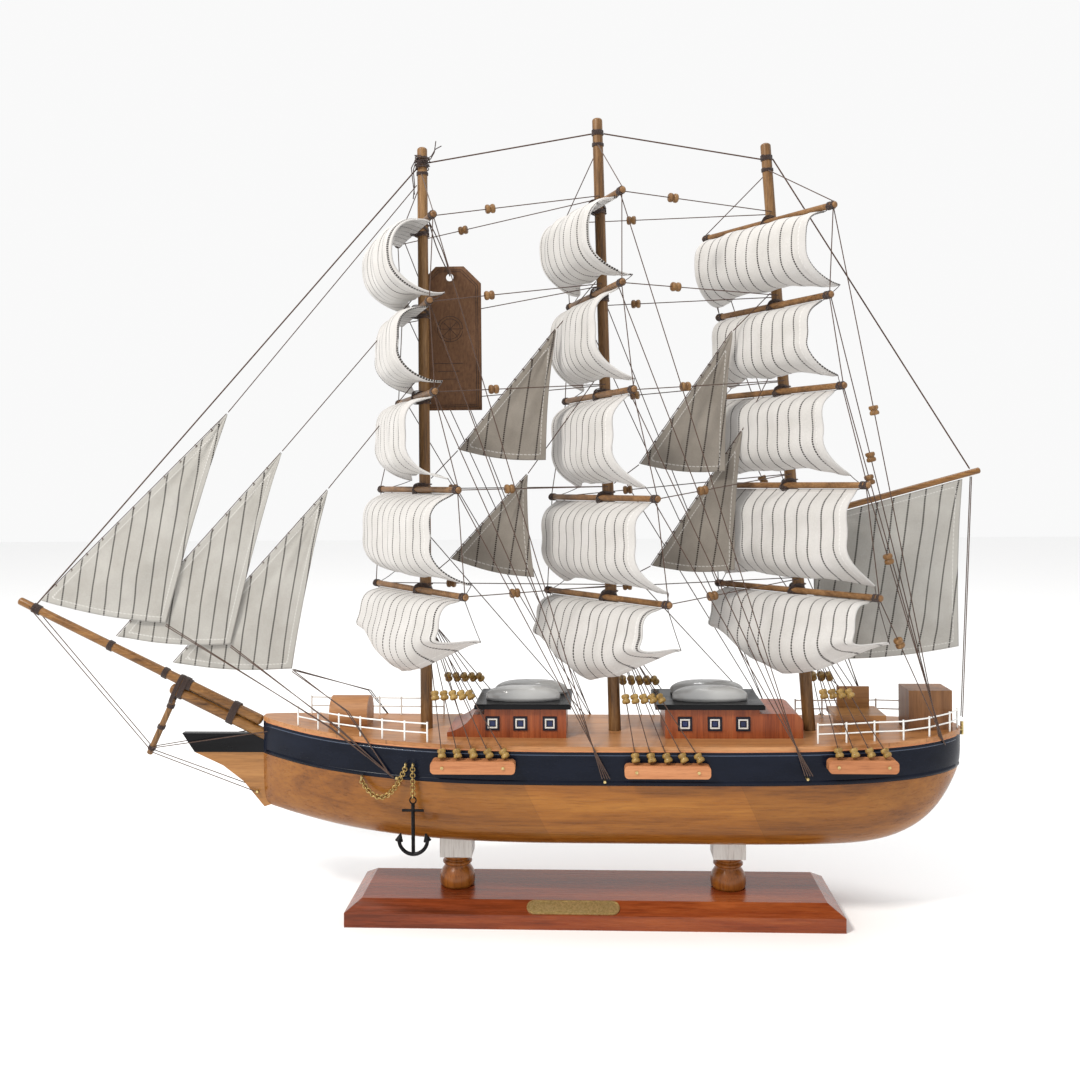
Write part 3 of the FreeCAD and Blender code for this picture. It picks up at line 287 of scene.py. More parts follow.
# every colour in these tables is in thousandths
# woods: darkest, middle and lightest grain, grain axis, roughness, coat, ring scale, streak, boards
WOODS = (
    ("base", "base_varnish", (75, 14, 4), (200, 38, 9), (330, 85, 20), 0, 0.26, 0.35, 60),
    ("stand", "stand_varnish", (100, 28, 4), (240, 75, 10), (360, 130, 20), 2, 0.3, 0.4, 90),
    ("pale", "pale_wood", (500, 480, 450), (620, 600, 570), (700, 690, 660), 2, 0.5, 0.1, 80),
    ("hull", "hull_varnish", (140, 42, 5), (300, 105, 12), (410, 165, 24), 0, 0.3, 0.3, 55, 0.3,
     (0, 0.128, 0.45, 0.3)),
    ("cutwater", "cutwater_wood", (170, 75, 20), (300, 135, 40), (390, 190, 62), 0, 0.4, 0.3, 70),
    ("deck", "deck_wood", (260, 100, 30), (420, 190, 70), (530, 260, 110), 0, 0.38, 0.25, 80, 0.3,
     (1, 0.0072, 0.0, 0.14)),
    ("house", "house_wood", (160, 30, 7), (300, 70, 18), (380, 110, 32), 2, 0.4, 0.25, 110, 0.3,
     (0, 0.0034, 0.0, 0.16)),
    ("chest", "chest_wood", (100, 40, 14), (190, 85, 32), (280, 130, 50), 2, 0.45, 0.15, 110),
    ("block", "fore_block_wood", (240, 100, 40), (360, 170, 70), (450, 240, 110), 0, 0.5, 0.1, 90),
    ("spar", "spar_stain", (35, 16, 6), (170, 85, 30), (290, 165, 68), 2, 0.42, 0.2, 170, 0.5),
    ("yard", "yard_stain", (50, 22, 8), (190, 95, 35), (310, 175, 75), 1, 0.42, 0.2, 170, 0.5),
    ("boom", "boom_varnish", (45, 17, 4), (180, 80, 20), (310, 155, 45), 0, 0.36, 0.3, 130, 0.45),
    ("channel", "channel_wood", (330, 120, 45), (460, 190, 80), (560, 260, 120), 0, 0.5, 0.1, 90),
    ("bead", "bead_wood", (120, 65, 14), (280, 170, 45), (420, 280, 90), 2, 0.38, 0.3, 300),
    ("spool", "spool_wood", (80, 35, 12), (180, 90, 30), (300, 170, 65), 2, 0.45, 0.2, 300),
)
# paints: colour, roughness, coat, mottle, scale, gloss
PAINTS = (
    ("navy", "navy_gloss", (1.8, 4, 12), 0.28, 0.03, 0.25, 60.0, 0.12),
    ("navy_light", "navy_rim", (20, 35, 70), 0.25, 0.2, 0.25),
    ("black", "roof_black", (3, 3, 4), 0.3, 0.02, 0.3, 60.0, 0.12),
    ("boat", "boat_grey", (380, 380, 375), 0.1, 1.0, 0.1, 45.0, 0.8),
    ("white", "rail_white", (740, 740, 720), 0.4, 0.2, 0.05),
    ("frame_dark", "window_frame_dark", (6, 5, 12), 0.35, 0.02, 0.2, 60.0, 0.2),
    ("frame_light", "window_frame_light", (600, 590, 560), 0.4, 0.1, 0.08),
    ("glass", "window_glass", (3, 12, 70), 0.12, 0.05, 0.3, 60.0, 0.3),
)
# metals: dark and light spots, roughness, scale
METALS = (
    ("brass", "brass", (300, 210, 70), (620, 500, 240), 0.34, 700.0),
    ("chain", "chain_brass", (160, 100, 30), (500, 360, 140), 0.35),
    ("iron", "anchor_iron", (4, 4, 5), (18, 17, 18), 0.45),
)
# cords: dark and light bands
CORDS = (
    ("thread", "brown_thread", (20, 8, 4), (85, 36, 18)),
    ("dark_thread", "dark_thread", (8, 3, 2), (45, 17, 9)),
    ("string", "tag_string", (20, 10, 6), (80, 40, 20)),
)
# cloths: light and shaded ground, stripe, stripe gap
CLOTHS = (
    ("sail", "sail_cotton", (560, 545, 530), (490, 475, 455), (22, 17, 15), STRIPE_GAP),
    # painted shade: the jib and spanker cloth and the staysail cloth are the sail cotton made darker and
    # browner, standing in for the shade those sails lie in
    ("jib_cloth", "jib_cotton", (400, 388, 362), (340, 327, 300), (22, 18, 16), 9.5 * MM),
    ("stay_cloth", "staysail_cotton", (240, 215, 185), (185, 163, 138), (20, 14, 12), 11 * MM),
)
M = {}
for make, table in ((wood, WOODS), (paint, PAINTS), (metal, METALS), (cord_material, CORDS),
                    (cloth_material, CLOTHS)):
    for key, *values in table:
        M[key] = make(*[[c / 1000 for c in v] if colour_like(v) else v for v in values])


def card_material():
    """Kraft card: pressed fibres and flecks."""
    shader = Shader("kraft_card")
    fibres = shader.noise(shader.place((1, 1, 0.35)), 700, 5, 0.7)
    flecks = shader.noise(shader.place(), 260, 3, 0.8)
    tone = shader.ramp(fibres, ((0.3, (0.085, 0.036, 0.014)), (0.7, (0.17, 0.08, 0.034))))
    fleck_tint = shader.ramp(flecks, ((0.35, (0.6, 0.55, 0.5)), (0.6, (1, 1, 1))))
    tone = shader.mix(0.4, tone, fleck_tint, "MULTIPLY")
    shader.set(Base_Color=tone, Roughness=0.8)
    shader.bump(fibres, 0.3, 0.0001)
    return shader.material


M["card"] = card_material()
M["ink"] = paint("tag_ink", (0.02, 0.009, 0.006), 0.7, 0.0, 0.3)


# ---- mesh helpers

def dress(node, material, soften=0.0):
    obj = NODES[node]
    if not obj.material_slots:
        obj.data.materials.append(material)
    for slot in obj.material_slots:
        slot.material = material
    if soften:
        edge = obj.modifiers.new("soft_edge", "BEVEL")
        edge.width = soften
        edge.segments = 2
        edge.limit_method = "ANGLE"
        edge.angle_limit = radians(40)
    return obj


def add_object(name, data, material, body=ROOT):
    obj = new_object(name, data)
    data.materials.append(material)
    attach(obj, body)
    return obj


def mesh_of(name, vertices, faces, smooth=True):
    data = bpy.data.meshes.new(name)
    data.from_pydata([tuple(v) for v in vertices], [], faces)
    data.polygons.foreach_set("use_smooth", [smooth] * len(data.polygons))
    data.update()
    return data


def basis(axis):
    side = axis.cross(Vector((0, 0, 1)))
    if side.length < 0.2:
        side = axis.cross(Vector((0, 1, 0)))
    side.normalize()
    return side, axis.cross(side).normalized()


def lathe(profile, origin, axis, count=24):
    """Closed turned solid: profile is (radius, distance along the axis) from one end to the other."""
    side, other = basis(axis)
    vertices = [origin + axis * profile[0][1]]
    for radius, along in profile:
        for turn in (tau * i / count for i in range(count)):
            vertices.append(origin + axis * along + (side * cos(turn) + other * sin(turn)) * radius)
    vertices.append(origin + axis * profile[-1][1])
    last = len(vertices) - 1
    faces = [(0, 1 + (i + 1) % count, 1 + i) for i in range(count)]
    for start in range(1, last - count, count):
        for i in range(count):
            j = (i + 1) % count
            faces.append((start + i, start + j, start + count + j, start + count + i))
    start = last - count
    faces += [(last, start + i, start + (i + 1) % count) for i in range(count)]
    return vertices, faces


def join(parts):
    vertices, faces = [], []
    for more, their in parts:
        base = len(vertices)
        vertices += more
        faces += [tuple(base + i for i in face) for face in their]
    return vertices, faces


def tube_curve(name, lines, radius, material, body=ROOT):
    """Thread through lists of points, as one curve object."""
    data = bpy.data.curves.new(name, "CURVE")
    data.dimensions = "3D"
    data.bevel_depth = radius
    data.bevel_resolution = 2
    data.use_fill_caps = True
    for points in lines:
        spline = data.splines.new("POLY")
        spline.points.add(len(points) - 1)
        for place, point in zip(spline.points, points):
            place.co = (*point, 1)
        spline.use_smooth = True
    return add_object(name, data, material, body)


def loose_parts(node):
    """The separate solids of a CAD node, as lists of vertex places and of (normal, area)."""
    mesh = bmesh.new()
    mesh.from_mesh(NODES[node].data)
    bmesh.ops.remove_doubles(mesh, verts=mesh.verts, dist=1e-7)
    seen = set()
    parts = []
    for start in mesh.verts:
        if start.index in seen:
            continue
        seen.add(start.index)
        stack, group = [start], []
        while stack:
            vertex = stack.pop()
            group.append(vertex)
            for edge in vertex.link_edges:
                near = edge.other_vert(vertex)
                if near.index not in seen:
                    seen.add(near.index)
                    stack.append(near)
        faces = {face for vertex in group for face in vertex.link_faces}
        parts.append(([v.co.copy() for v in group], [(f.normal.copy(), f.calc_area()) for f in faces]))
    mesh.free()
    return parts


def part_box(part):
    points = part[0]
    return [Vector([pick(p[i] for p in points) for i in range(3)]) for pick in (min, max)]


def in_place_of(node, name, solids, material, smooth=True):
    """One visible piece from several solids, shown instead of a CAD node."""
    piece = add_object(name, mesh_of(name, *join(solids), smooth), M[material])
    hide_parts(node)


def flat_axis(part):
    """Direction of the largest flat face of a turned solid, and its centre."""
    points, faces = part
    sums = {}
    for normal, area in faces:
        key = tuple(round(c, 2) for c in normal)
        total, way = sums.get(key, (0, Vector()))
        sums[key] = (total + area, way + normal * area)
    way = max(sums.values(), key=lambda entry: entry[0])[1].normalized()
    if way.z < 0:
        way = -way
    reach = [p.dot(way) for p in points]
    middle = mean(points)
    middle += way * ((max(reach) + min(reach)) / 2 - middle.dot(way))
    return middle, way, max(reach) - min(reach)


# points this close to a bar's tip belong to its end face, even where the face is slanted
END_DEPTH = 2.2 * MM


def spar_ends(part, along):
    """End centres and radii of a round bar, given the rough direction it runs in."""
    points = part[0]
    reach = [p.dot(along) for p in points]
    low = [p for p, r in zip(points, reach) if r < min(reach) + END_DEPTH]
    high = [p for p, r in zip(points, reach) if r > max(reach) - END_DEPTH]
    return [(mean(group), max((p - mean(group)).length for p in group)) for group in (low, high)]


# ---- stand and hull

# CAD node, its material, and how wide its edges are softened, in millimetres
DRESSED = (
    ("base_plank", "base", 0.7), ("hull_risers", "pale", 0.5), ("nameplate", "brass", 0.15),
    ("hull_lower", "hull", 0), ("hull_band", "navy", 0), ("deck", "deck", 0),
    ("cutwater", "cutwater", 0.5), ("cutwater_head", "black", 0.5), ("channels", "channel", 0.5),
    ("hull_pins", "brass", 0), ("deck_rails", "white", 0), ("fore_house", "house", 0.3),
    ("aft_house", "house", 0.3), ("house_roofs", "black", 0.3), ("fore_block", "block", 0.5),
    ("deck_ramp", "house", 0.3), ("deck_bench", "cutwater", 0.3), ("stern_box", "chest", 0.4),
    ("standing_rigging", "thread", 0), ("running_rigging", "thread", 0), ("anchor", "iron", 0.2),
    ("anchor_chain", "chain", 0), ("slack_chain", "chain", 0))
for node, material, soften in DRESSED:
    dress(node, M[material], soften * MM)


def side_hit(obj, x, z, side):
    """Point on the hull's side at one station and height, or nothing."""
    start = Vector((x, side * 0.2, z))
    hit, place, normal, _ = obj.ray_cast(start, Vector((0, -side, 0)))
    return (place, normal) if hit else None


def band_edge(x, side, upper):
    """Height of the dark band's upper or lower edge at one station."""
    obj = NODES["hull_band"]
    low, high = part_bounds("hull_band")
    step = (high.z - low.z) / 40
    inside = None
    for i in range(40):
        z = low.z + step * (i + 0.5)
        if side_hit(obj, x, z, side):
            inside = z
            if not upper:
                break
    outside = inside + (1.5 if upper else -1.5) * step
    for _ in range(12):
        middle = (inside + outside) / 2
        if side_hit(obj, x, middle, side):
            inside = middle
        else:
            outside = middle
    return inside


STRIP_STEPS = 90
STRIP_INSET = 2.5 * MM
STRIP_SUNK = 0.2 * MM


def hull_strip(name, upper, drop, height, proud, material):
    """Half-round moulding that follows the hull's side at a distance from one edge of the band."""
    low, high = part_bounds("hull_band")
    parts = []
    for side in (-1, 1):
        rings = []
        for i in range(STRIP_STEPS + 1):
            x = low.x + STRIP_INSET + (high.x - low.x - 2 * STRIP_INSET) * i / STRIP_STEPS
            z = band_edge(x, side, upper) - drop
            found = side_hit(NODES["hull_band"], x, z, side) or side_hit(NODES["hull_lower"], x, z, side)
            if not found:
                continue
            place, normal = found
            out = Vector((normal.x, normal.y, 0)).normalized()
            ring = []
            for k in range(7):
                turn = pi * k / 6
                ring.append(place + out * (proud * sin(turn) - STRIP_SUNK) + UP * (height / 2 * cos(turn)))
            rings.append(ring)
        vertices = [v for ring in rings for v in ring]
        faces = []
        for i in range(0, len(vertices) - 7, 7):
            faces += [(a, a + 1, a + 8, a + 7) for a in range(i, i + 6)]
            faces.append((i + 6, i, i + 7, i + 13))
        faces.append(tuple(range(6, -1, -1)))
        faces.append(tuple(range(len(vertices) - 7, len(vertices))))
        parts.append((vertices, faces))
    add_object(name, mesh_of(name, *join(parts)), M[material])


hull_strip("band_wale", False, -1.6 * MM, 2.6 * MM, 0.8 * MM, "navy")
hull_strip("band_rim", True, 2.6 * MM, 0.8 * MM, 0.35 * MM, "navy_light")
hull_strip("deck_edge", True, 0.3 * MM, 1.0 * MM, 0.45 * MM, "channel")



BOAT_KEEL = 0.7 * MM
BOAT_RIM = 0.5 * MM


def upturned_boat(low, high):
    """Upturned hull with pointed ends, a keel ridge and a flat rim it lies on."""
    middle = (low + high) / 2
    half_l, half_w, tall = (high.x - low.x) / 2, (high.y - low.y) / 2, high.z - low.z
    rings, around = 28, 18
    vertices, faces = [], []
    for i in range(rings + 1):
        u = sin(pi / 2 * (2 * i / rings - 1)) * 0.999
        wide = half_w * (1 - abs(u) ** 2.3) ** 0.75 + 0.05 * MM
        high_here = tall * (0.35 + 0.65 * (1 - abs(u) ** 3) ** 0.6)
        for k in range(around + 1):
            turn = pi * k / around
            y = wide * copysign(abs(cos(turn)) ** 0.8, cos(turn))
            z = high_here * sin(turn) ** 0.75
            ridge = BOAT_KEEL * (exp(-(y / BOAT_KEEL) ** 2) - 1) * (z > tall * 0.3)
            rim = BOAT_RIM * exp(-(z / (0.8 * MM)) ** 2)
            vertices.append(Vector((middle.x + half_l * u, middle.y + y + copysign(rim, y),
                                    low.z + min(z + ridge, tall))))
    row = around + 1
    for i in range(rings):
        faces += [(a, a + row, a + row + 1, a + 1) for a in range(i * row, i * row + around)]
        faces.append((i * row + around, (i + 1) * row + around, (i + 1) * row, i * row))
    faces.append(tuple(range(row)))
    faces.append(tuple(range(rings * row + row - 1, rings * row - 1, -1)))
    return vertices, faces


boats = [upturned_boat(*part_box(part)) for part in loose_parts("ship_boats")]
in_place_of("ship_boats", "upturned_boats", boats, "boat")

# turned pedestals: radius and height of each ring, as shares of the CAD foot's radius and height
PEDESTAL = ((0.9, 0.0), (0.96, 0.03), (0.99, 0.1), (1.0, 0.22), (0.985, 0.34), (0.92, 0.46),
            (0.81, 0.56), (0.72, 0.63), (0.685, 0.67), (0.69, 0.69), (0.78, 0.705), (0.84, 0.74),
            (0.84, 0.78), (0.77, 0.815), (0.69, 0.83), (0.68, 0.86), (0.74, 0.88), (0.82, 0.93),
            (0.83, 0.97), (0.8, 1.0))
turned = []
for part in loose_parts("pedestals"):
    low, high = part_box(part)
    foot = Vector(((low.x + high.x) / 2, 0, low.z))
    profile = [(r * (high.x - low.x) / 2, h * (high.z - low.z)) for r, h in PEDESTAL]
    turned.append(lathe(profile, foot, UP, 48))
in_place_of("pedestals", "pedestals_turned", turned, "stand")


# ---- spars

SPAR_RINGS = 18
CAP_RINGS = 5
# depth of a spar's rounded end, as a share of its radius
CAP_DEPTH = 0.6


def rounded_spar(low, high, radius_low, radius_high, round_low, wobble):
    axis = (high - low).normalized()
    length = (high - low).length
    turns = [pi / 2 * (i + 0.3) / CAP_RINGS for i in range(CAP_RINGS)]
    profile = [(radius_low, 0)]
    if round_low:
        profile = [(radius_low * sin(turn), radius_low * CAP_DEPTH * (1 - cos(turn))) for turn in turns]
    for i in range(SPAR_RINGS + 1):
        share = i / SPAR_RINGS
        along = radius_low * CAP_DEPTH + (length - radius_low * CAP_DEPTH - radius_high * CAP_DEPTH) * share
        swell = 1 + wobble * drift(along * 60, low.x * 40, low.z * 40)
        profile.append(((radius_low + (radius_high - radius_low) * share) * swell, along))
    for turn in reversed(turns):
        profile.append((radius_high * sin(turn), length - radius_high * CAP_DEPTH * (1 - cos(turn))))
    return lathe(profile, low, axis)


# rough direction of the bowsprit and the boom, from the ship to the tip
BOW_WAY = Vector((-1, 0, 0.5))
# how unevenly a spar is turned, as a share of its radius
SPAR_WOBBLE = 0.02

mast_ends = {}
for mast in MASTS:
    node = mast + "_mast"
    (low, r_low), (high, r_high) = spar_ends(loose_parts(node)[0], UP)
    mast_ends[mast] = (low, high, r_low, r_high)
    solid = rounded_spar(low, high, r_low, r_high, False, 0.015)
    in_place_of(node, node + "_turned", [solid], "spar")

yard_bars = []
for part in loose_parts("yards"):
    (starboard, radius), (port, _) = spar_ends(part, Vector((0.4, -1, 0)))
    yard_bars.append((starboard, port, radius))
solids = [rounded_spar(a, b, r, r, True, SPAR_WOBBLE) for a, b, r in yard_bars]
in_place_of("yards", "yards_turned", solids, "yard")

for node, along, material in (("bowsprit", BOW_WAY, "boom"), ("jib_boom", BOW_WAY, "boom"),
                              ("dolphin_striker", Vector((0.4, 0, 1)), "spar"),
                              ("spanker_gaff", Vector((1, 0, 0.27)), "boom")):
    (low, r_low), (high, r_high) = spar_ends(loose_parts(node)[0], along.normalized())
    solid = rounded_spar(low, high, r_low, r_high, node != "bowsprit", SPAR_WOBBLE)
    in_place_of(node, node + "_turned", [solid], material)


def wrap(centre, axis, radius, turns, pitch, points=14):
    """A thread wound round a spar."""
    side, other = basis(axis)
    line = []
    for i in range(int(turns * points) + 1):
        turn = tau * i / points
        along = (i / points - turns / 2) * pitch
        line.append(centre + axis * along + (side * cos(turn) + other * sin(turn)) * radius)
    return line


THREAD_R = 0.32 * MM
LASH_PITCH = 0.62 * MM
lashings = []
for starboard, port, radius in yard_bars:
    axis = (port - starboard).normalized()
    for end, inward in ((starboard, axis), (port, -axis)):
        for inset in (2.6 * MM, 5.2 * MM):
            lashings.append(wrap(end + inward * inset, axis, radius + THREAD_R * 0.8, 3.3, 0.55 * MM))
for mast, (low, high, r_low, r_high) in mast_ends.items():
    way = (high - low).normalized()
    lashings.append(wrap(high - way * 9.5 * MM, way, r_high + THREAD_R, 5.2, LASH_PITCH))
    lashings.append(wrap(high - way * 17 * MM, way, r_high + THREAD_R, 3.2, LASH_PITCH))
    for height in (190, 186, 182):
        share = (height * MM - low.z) / (high.z - low.z)
        here = low + (high - low) * share
        lashings.append(wrap(here, way, r_low + (r_high - r_low) * share + THREAD_R, 3.2, 0.65 * MM))


def cross_lashing(yard, mast):
    """Turns that bind a yard to its mast, slanting both ways."""
    starboard, port, yard_r = yard
    low, high, r_low, r_high = mast
    along = (port - starboard).normalized()
    middle = (port + starboard) / 2
    share = (middle.z - low.z) / (high.z - low.z)
    axis_point = low + (high - low) * share
    mast_r = r_low + (r_high - r_low) * share
    out = (middle - axis_point).normalized()
    reach = (middle - axis_point).length
    centre = axis_point + out * ((reach + yard_r - mast_r) / 2)
    half_out = (reach + yard_r + mast_r) / 2 + THREAD_R
    bulge = mast_r + THREAD_R + 0.2 * MM
    climb = (yard_r + 0.8 * MM) * 0.6
    lines = []
    for slant, number in ((slant, number) for slant in (-1, 1) for number in range(4)):
        shift = (number - 1.5) * LASH_PITCH
        line = []
        for i in range(29):
            turn = tau * i / 28
            depth, width = cos(turn), sin(turn)
            point = centre + out * (half_out * depth) + along * (bulge * width + shift * depth)
            line.append(point + UP * (2.6 * MM * width * slant + shift * 1.2 + climb * slant * depth))
        lines.append(line)
    return lines


for yard in yard_bars:
    middle = (yard[0] + yard[1]) / 2
    mast = min(MASTS, key=lambda m: abs(mast_ends[m][0].x - middle.x - (12 * MM if m == "mizzen" else 0)))
    lashings += cross_lashing(yard, mast_ends[mast])
knot_low, knot_high = mast_ends["fore"][:2]
knot_way = (knot_high - knot_low).normalized()
knot_at = knot_high - knot_way * 10 * MM
for i in range(9):
    tilt = Vector((drift(i * 1.7, 0.3, 0), drift(0.2, i * 2.1, 0), 1.4)).normalized()
    lift = knot_way * ((i - 4) * 0.9 * MM)
    lashings.append(wrap(knot_at + lift, tilt, 4.1 * MM + (i % 3) * 0.35 * MM, 1.15, 0.9 * MM))
KNOT_TAILS = (((-3.6, -2, 2), (-6.5, -3, -4), (-5.5, -3.5, -13), (-4.4, -4, -21)),
              ((-3.8, -2.5, 0), (-5, -4.6, -6), (-4.2, -5, -15), (-5.2, -4.6, -24)),
              ((2.5, -3.4, 1), (6.5, -4.2, 3), (9, -4.6, 7), (13, -4.8, 9)),
              ((3, -3.2, 0), (6, -4.4, 1), (8.5, -5, 5), (9.5, -5, 12)))
for tail in KNOT_TAILS:
    lashings.append([knot_at + Vector(point) * MM for point in tail])
tube_curve("spar_lashings", lashings, THREAD_R, M["dark_thread"])

(boom_low, boom_r_low), (boom_high, boom_r_high) = spar_ends(loose_parts("jib_boom")[0], BOW_WAY.normalized())
boom_way = (boom_high - boom_low).normalized()
boom_lines = []
for share, turns in ((0.3, 6), (0.395, 5.2), (0.62, 5.2), (0.925, 8.2)):
    here = boom_low + (boom_high - boom_low) * share
    radius = boom_r_low + (boom_r_high - boom_r_low) * share
    boom_lines.append(wrap(here, boom_way, radius + THREAD_R, turns, 0.7 * MM))
(top, striker_r), (foot, _) = spar_ends(loose_parts("dolphin_striker")[0], Vector((-0.4, 0, -1)).normalized())
for share in (0.12, 0.5, 0.88):
    here = top + (foot - top) * share
    boom_lines.append(wrap(here, (foot - top).normalized(), striker_r + THREAD_R, 4.2, 0.66 * MM))
(_, sprit_r), (sprit_high, _) = spar_ends(loose_parts("bowsprit")[0], BOW_WAY.normalized())
sprit_up = Vector((0, 1, 0)).cross(boom_way)
sprit_up *= copysign(1, sprit_up.z)


def double_lashing(from_tip, turns, drop=0.0):
    """Turns round the bowsprit and the boom together, lengthened downwards by a drop."""
    under = sprit_high - boom_way * from_tip
    over = boom_low + boom_way * (under - boom_low).dot(boom_way)
    middle = (under + over) / 2 - sprit_up * drop / 2
    tall = (over - under).length / 2 + sprit_r + THREAD_R + drop / 2
    wide = sprit_r + THREAD_R + 0.1 * MM
    line = []
    for i in range(int(turns * 20) + 1):
        turn = tau * i / 20
        shift = (i / 20 - turns / 2) * 0.66 * MM
        bulge = abs(sin(turn)) ** 0.5 * copysign(1, sin(turn))
        line.append(middle + sprit_up * (tall * cos(turn)) + Vector((0, wide * bulge, 0)) + boom_way * shift)
    return line


boom_lines += [double_lashing(4.5 * MM, 4, 5 * MM), double_lashing(8 * MM, 5), double_lashing(44 * MM, 7)]
tube_curve("boom_lashings", boom_lines, THREAD_R * 1.15, M["dark_thread"])


# ---- beads and blocks

# two rounded rims with a groove between them, as shares of the radius and of half the height
BEAD_SHAPE = ((0.5, -1), (0.86, -0.97), (0.97, -0.82), (1.0, -0.6), (0.97, -0.34), (0.88, -0.18),
              (0.74, -0.09), (0.74, 0.09), (0.88, 0.18), (0.97, 0.34), (1.0, 0.6), (0.97, 0.82),
              (0.86, 0.97), (0.5, 1))



for node, material in (("deadeyes", "bead"), ("brace_blocks", "spool")):
    beads = []
    for part in loose_parts(node):
        centre, way, height = flat_axis(part)
        radius = max((p - centre - way * (p - centre).dot(way)).length for p in part[0])
        profile = [(radius * r, height / 2 * h) for r, h in BEAD_SHAPE]
        beads.append(lathe(profile, centre, way, 18))
    in_place_of(node, node + "_turned", beads, material)


# ---- windows

def box_faces(low, high):
    x0, y0, z0 = low
    x1, y1, z1 = high
    square = ((x0, y0), (x1, y0), (x1, y1), (x0, y1))
    vertices = [Vector((x, y, z)) for z in (z0, z1) for x, y in square]
    return vertices, [(0, 3, 2, 1), (4, 5, 6, 7), (0, 1, 5, 4), (1, 2, 6, 5), (2, 3, 7, 6), (3, 0, 4, 7)]


def ring_frame(centre, half_out, half_in, depth, side):
    """Square picture-frame ring standing off a wall that faces port or starboard."""
    cx, cy, cz = centre
    y0, y1 = sorted((cy, cy + side * depth))
    a, b = half_out, half_in
    return [box_faces((cx + xa, y0, cz + za), (cx + xb, y1, cz + zb)) for xa, xb, za, zb in
            ((-a, a, b, a), (-a, a, -a, -b), (-a, -b, -b, b), (b, a, -b, b))]


dark_parts, light_parts, glass_parts = [], [], []
for part in loose_parts("house_windows"):
    low, high = part_box(part)
    side = -1 if low.y < 0 else 1
    wall = high.y if side < 0 else low.y
    centre = Vector(((low.x + high.x) / 2, wall, (low.z + high.z) / 2))
    half = (high.x - low.x) / 2
    dark_parts += ring_frame(centre, half + 0.3 * MM, half * 0.74, 0.8 * MM, side)
    light_parts += ring_frame(centre, half * 0.74, half * 0.52, 1.05 * MM, side)
    dark_parts += ring_frame(centre, half * 0.52, half * 0.40, 0.7 * MM, side)
    y0, y1 = sorted((wall, wall + side * 0.35 * MM))
    glass_parts.append(box_faces((centre.x - half * 0.4, y0, centre.z - half * 0.4),
                                 (centre.x + half * 0.4, y1, centre.z + half * 0.4)))
for name, parts, material in (("window_frames_dark", dark_parts, "frame_dark"),
                              ("window_frames_light", light_parts, "frame_light"),
                              ("window_glass", glass_parts, "glass")):
    piece = add_object(name, mesh_of(name, *join(parts), smooth=False), M[material])
    edge = piece.modifiers.new("soft_edge", "BEVEL")
    edge.width = 0.12 * MM
    if name == "window_frames_dark":
        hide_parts("house_windows")


# ---- square sails

def fit_circle(points):
    """Centre and radius of the circle nearest to points in a plane, by least squares."""
    n = len(points)
    mx = sum(x for x, _ in points) / n
    my = sum(y for _, y in points) / n
    near = [(x - mx, y - my) for x, y in points]
    suu = sum(u * u for u, v in near)
    suv = sum(u * v for u, v in near)
    svv = sum(v * v for u, v in near)
    a = (sum(u ** 3 for u, v in near) + sum(u * v * v for u, v in near)) / 2
    b = (sum(v ** 3 for u, v in near) + sum(v * u * u for u, v in near)) / 2
    det = suu * svv - suv * suv
    cu = (a * svv - b * suv) / det
    cv = (b * suu - a * suv) / det
    return mx + cu, my + cv, sqrt(cu * cu + cv * cv + (suu + svv) / n)


def arc_of(node):
    """The curved sheet a square sail's solid describes: its axis, forward way, circle and angles."""
    points = [v.co.copy() for v in NODES[node].data.vertices]
    middle = mean(points)
    port = [p for p in points if p.y < middle.y]
    starboard = [p for p in points if p.y >= middle.y]
    axis = mean(port) - mean(starboard)
    axis.z = 0
    half = axis.length / 2
    axis.normalize()
    forward = Vector((axis.y, -axis.x, 0))
    flat = [(p.dot(forward), p.z) for p in port]
    a, z, radius = fit_circle(flat)
    turns = [atan2(q - z, p - a) for p, q in flat]
    along = (mean(port) + mean(starboard)).dot(axis) / 2
    centre = axis * along + forward * a + UP * z
    return centre, axis, forward, radius, max(turns), min(turns), half


def smooth_step(low, high, value):
    share = min(max((value - low) / (high - low), 0), 1)
    return share * share * (3 - 2 * share)


CLOTH_HEM_THICK = 0.9 * MM


def spaced(count, rim):
    """Values from -1 to 1 with extra lines close to both ends, where the hems lie."""
    inner = [-1 + rim + (2 - 2 * rim) * i / count for i in range(count + 1)]
    edge = [-1, -1 + rim * 0.2, -1 + rim * 0.6, -1 + rim * 0.92]
    return edge + inner + [-v for v in reversed(edge)]


def finish_sheet(node, rows, flat_uv, inset, material):
    """Cloth from rows of points: maps for the weave and the hems, doubled thickness at the hems."""
    width = len(rows[0])
    vertices = [p for line in rows for p in line]
    corners = [i * width + j for i in range(len(rows) - 1) for j in range(width - 1)]
    name = node + "_cloth"
    data = mesh_of(name, vertices, [(a, a + 1, a + width + 1, a + width) for a in corners])
    for layer_name, values in (("flat", flat_uv), ("edge", [(d, 0) for d in inset])):
        layer = data.uv_layers.new(name=layer_name)
        for loop in data.loops:
            layer.data[loop.index].uv = values[loop.vertex_index]
    piece = add_object(name, data, M[material])
    group = piece.vertex_groups.new(name="hem")
    for index, depth in enumerate(inset):
        group.add([index], 1.0 if depth < HEM else 0.5, "REPLACE")
    solid = piece.modifiers.new("cloth", "SOLIDIFY")
    solid.thickness = CLOTH_HEM_THICK
    solid.offset = 0
    solid.vertex_group = "hem"
    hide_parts(node)
    return piece


SAIL_BELLY = 3.0 * MM
LEECH_CURL = 2.0 * MM
# a lower corner is tied to the yard below when it lies this close to its end
TIE_REACH = 40 * MM
TIE_INWARD = 4 * MM
TIE_SAG = 0.6 * MM
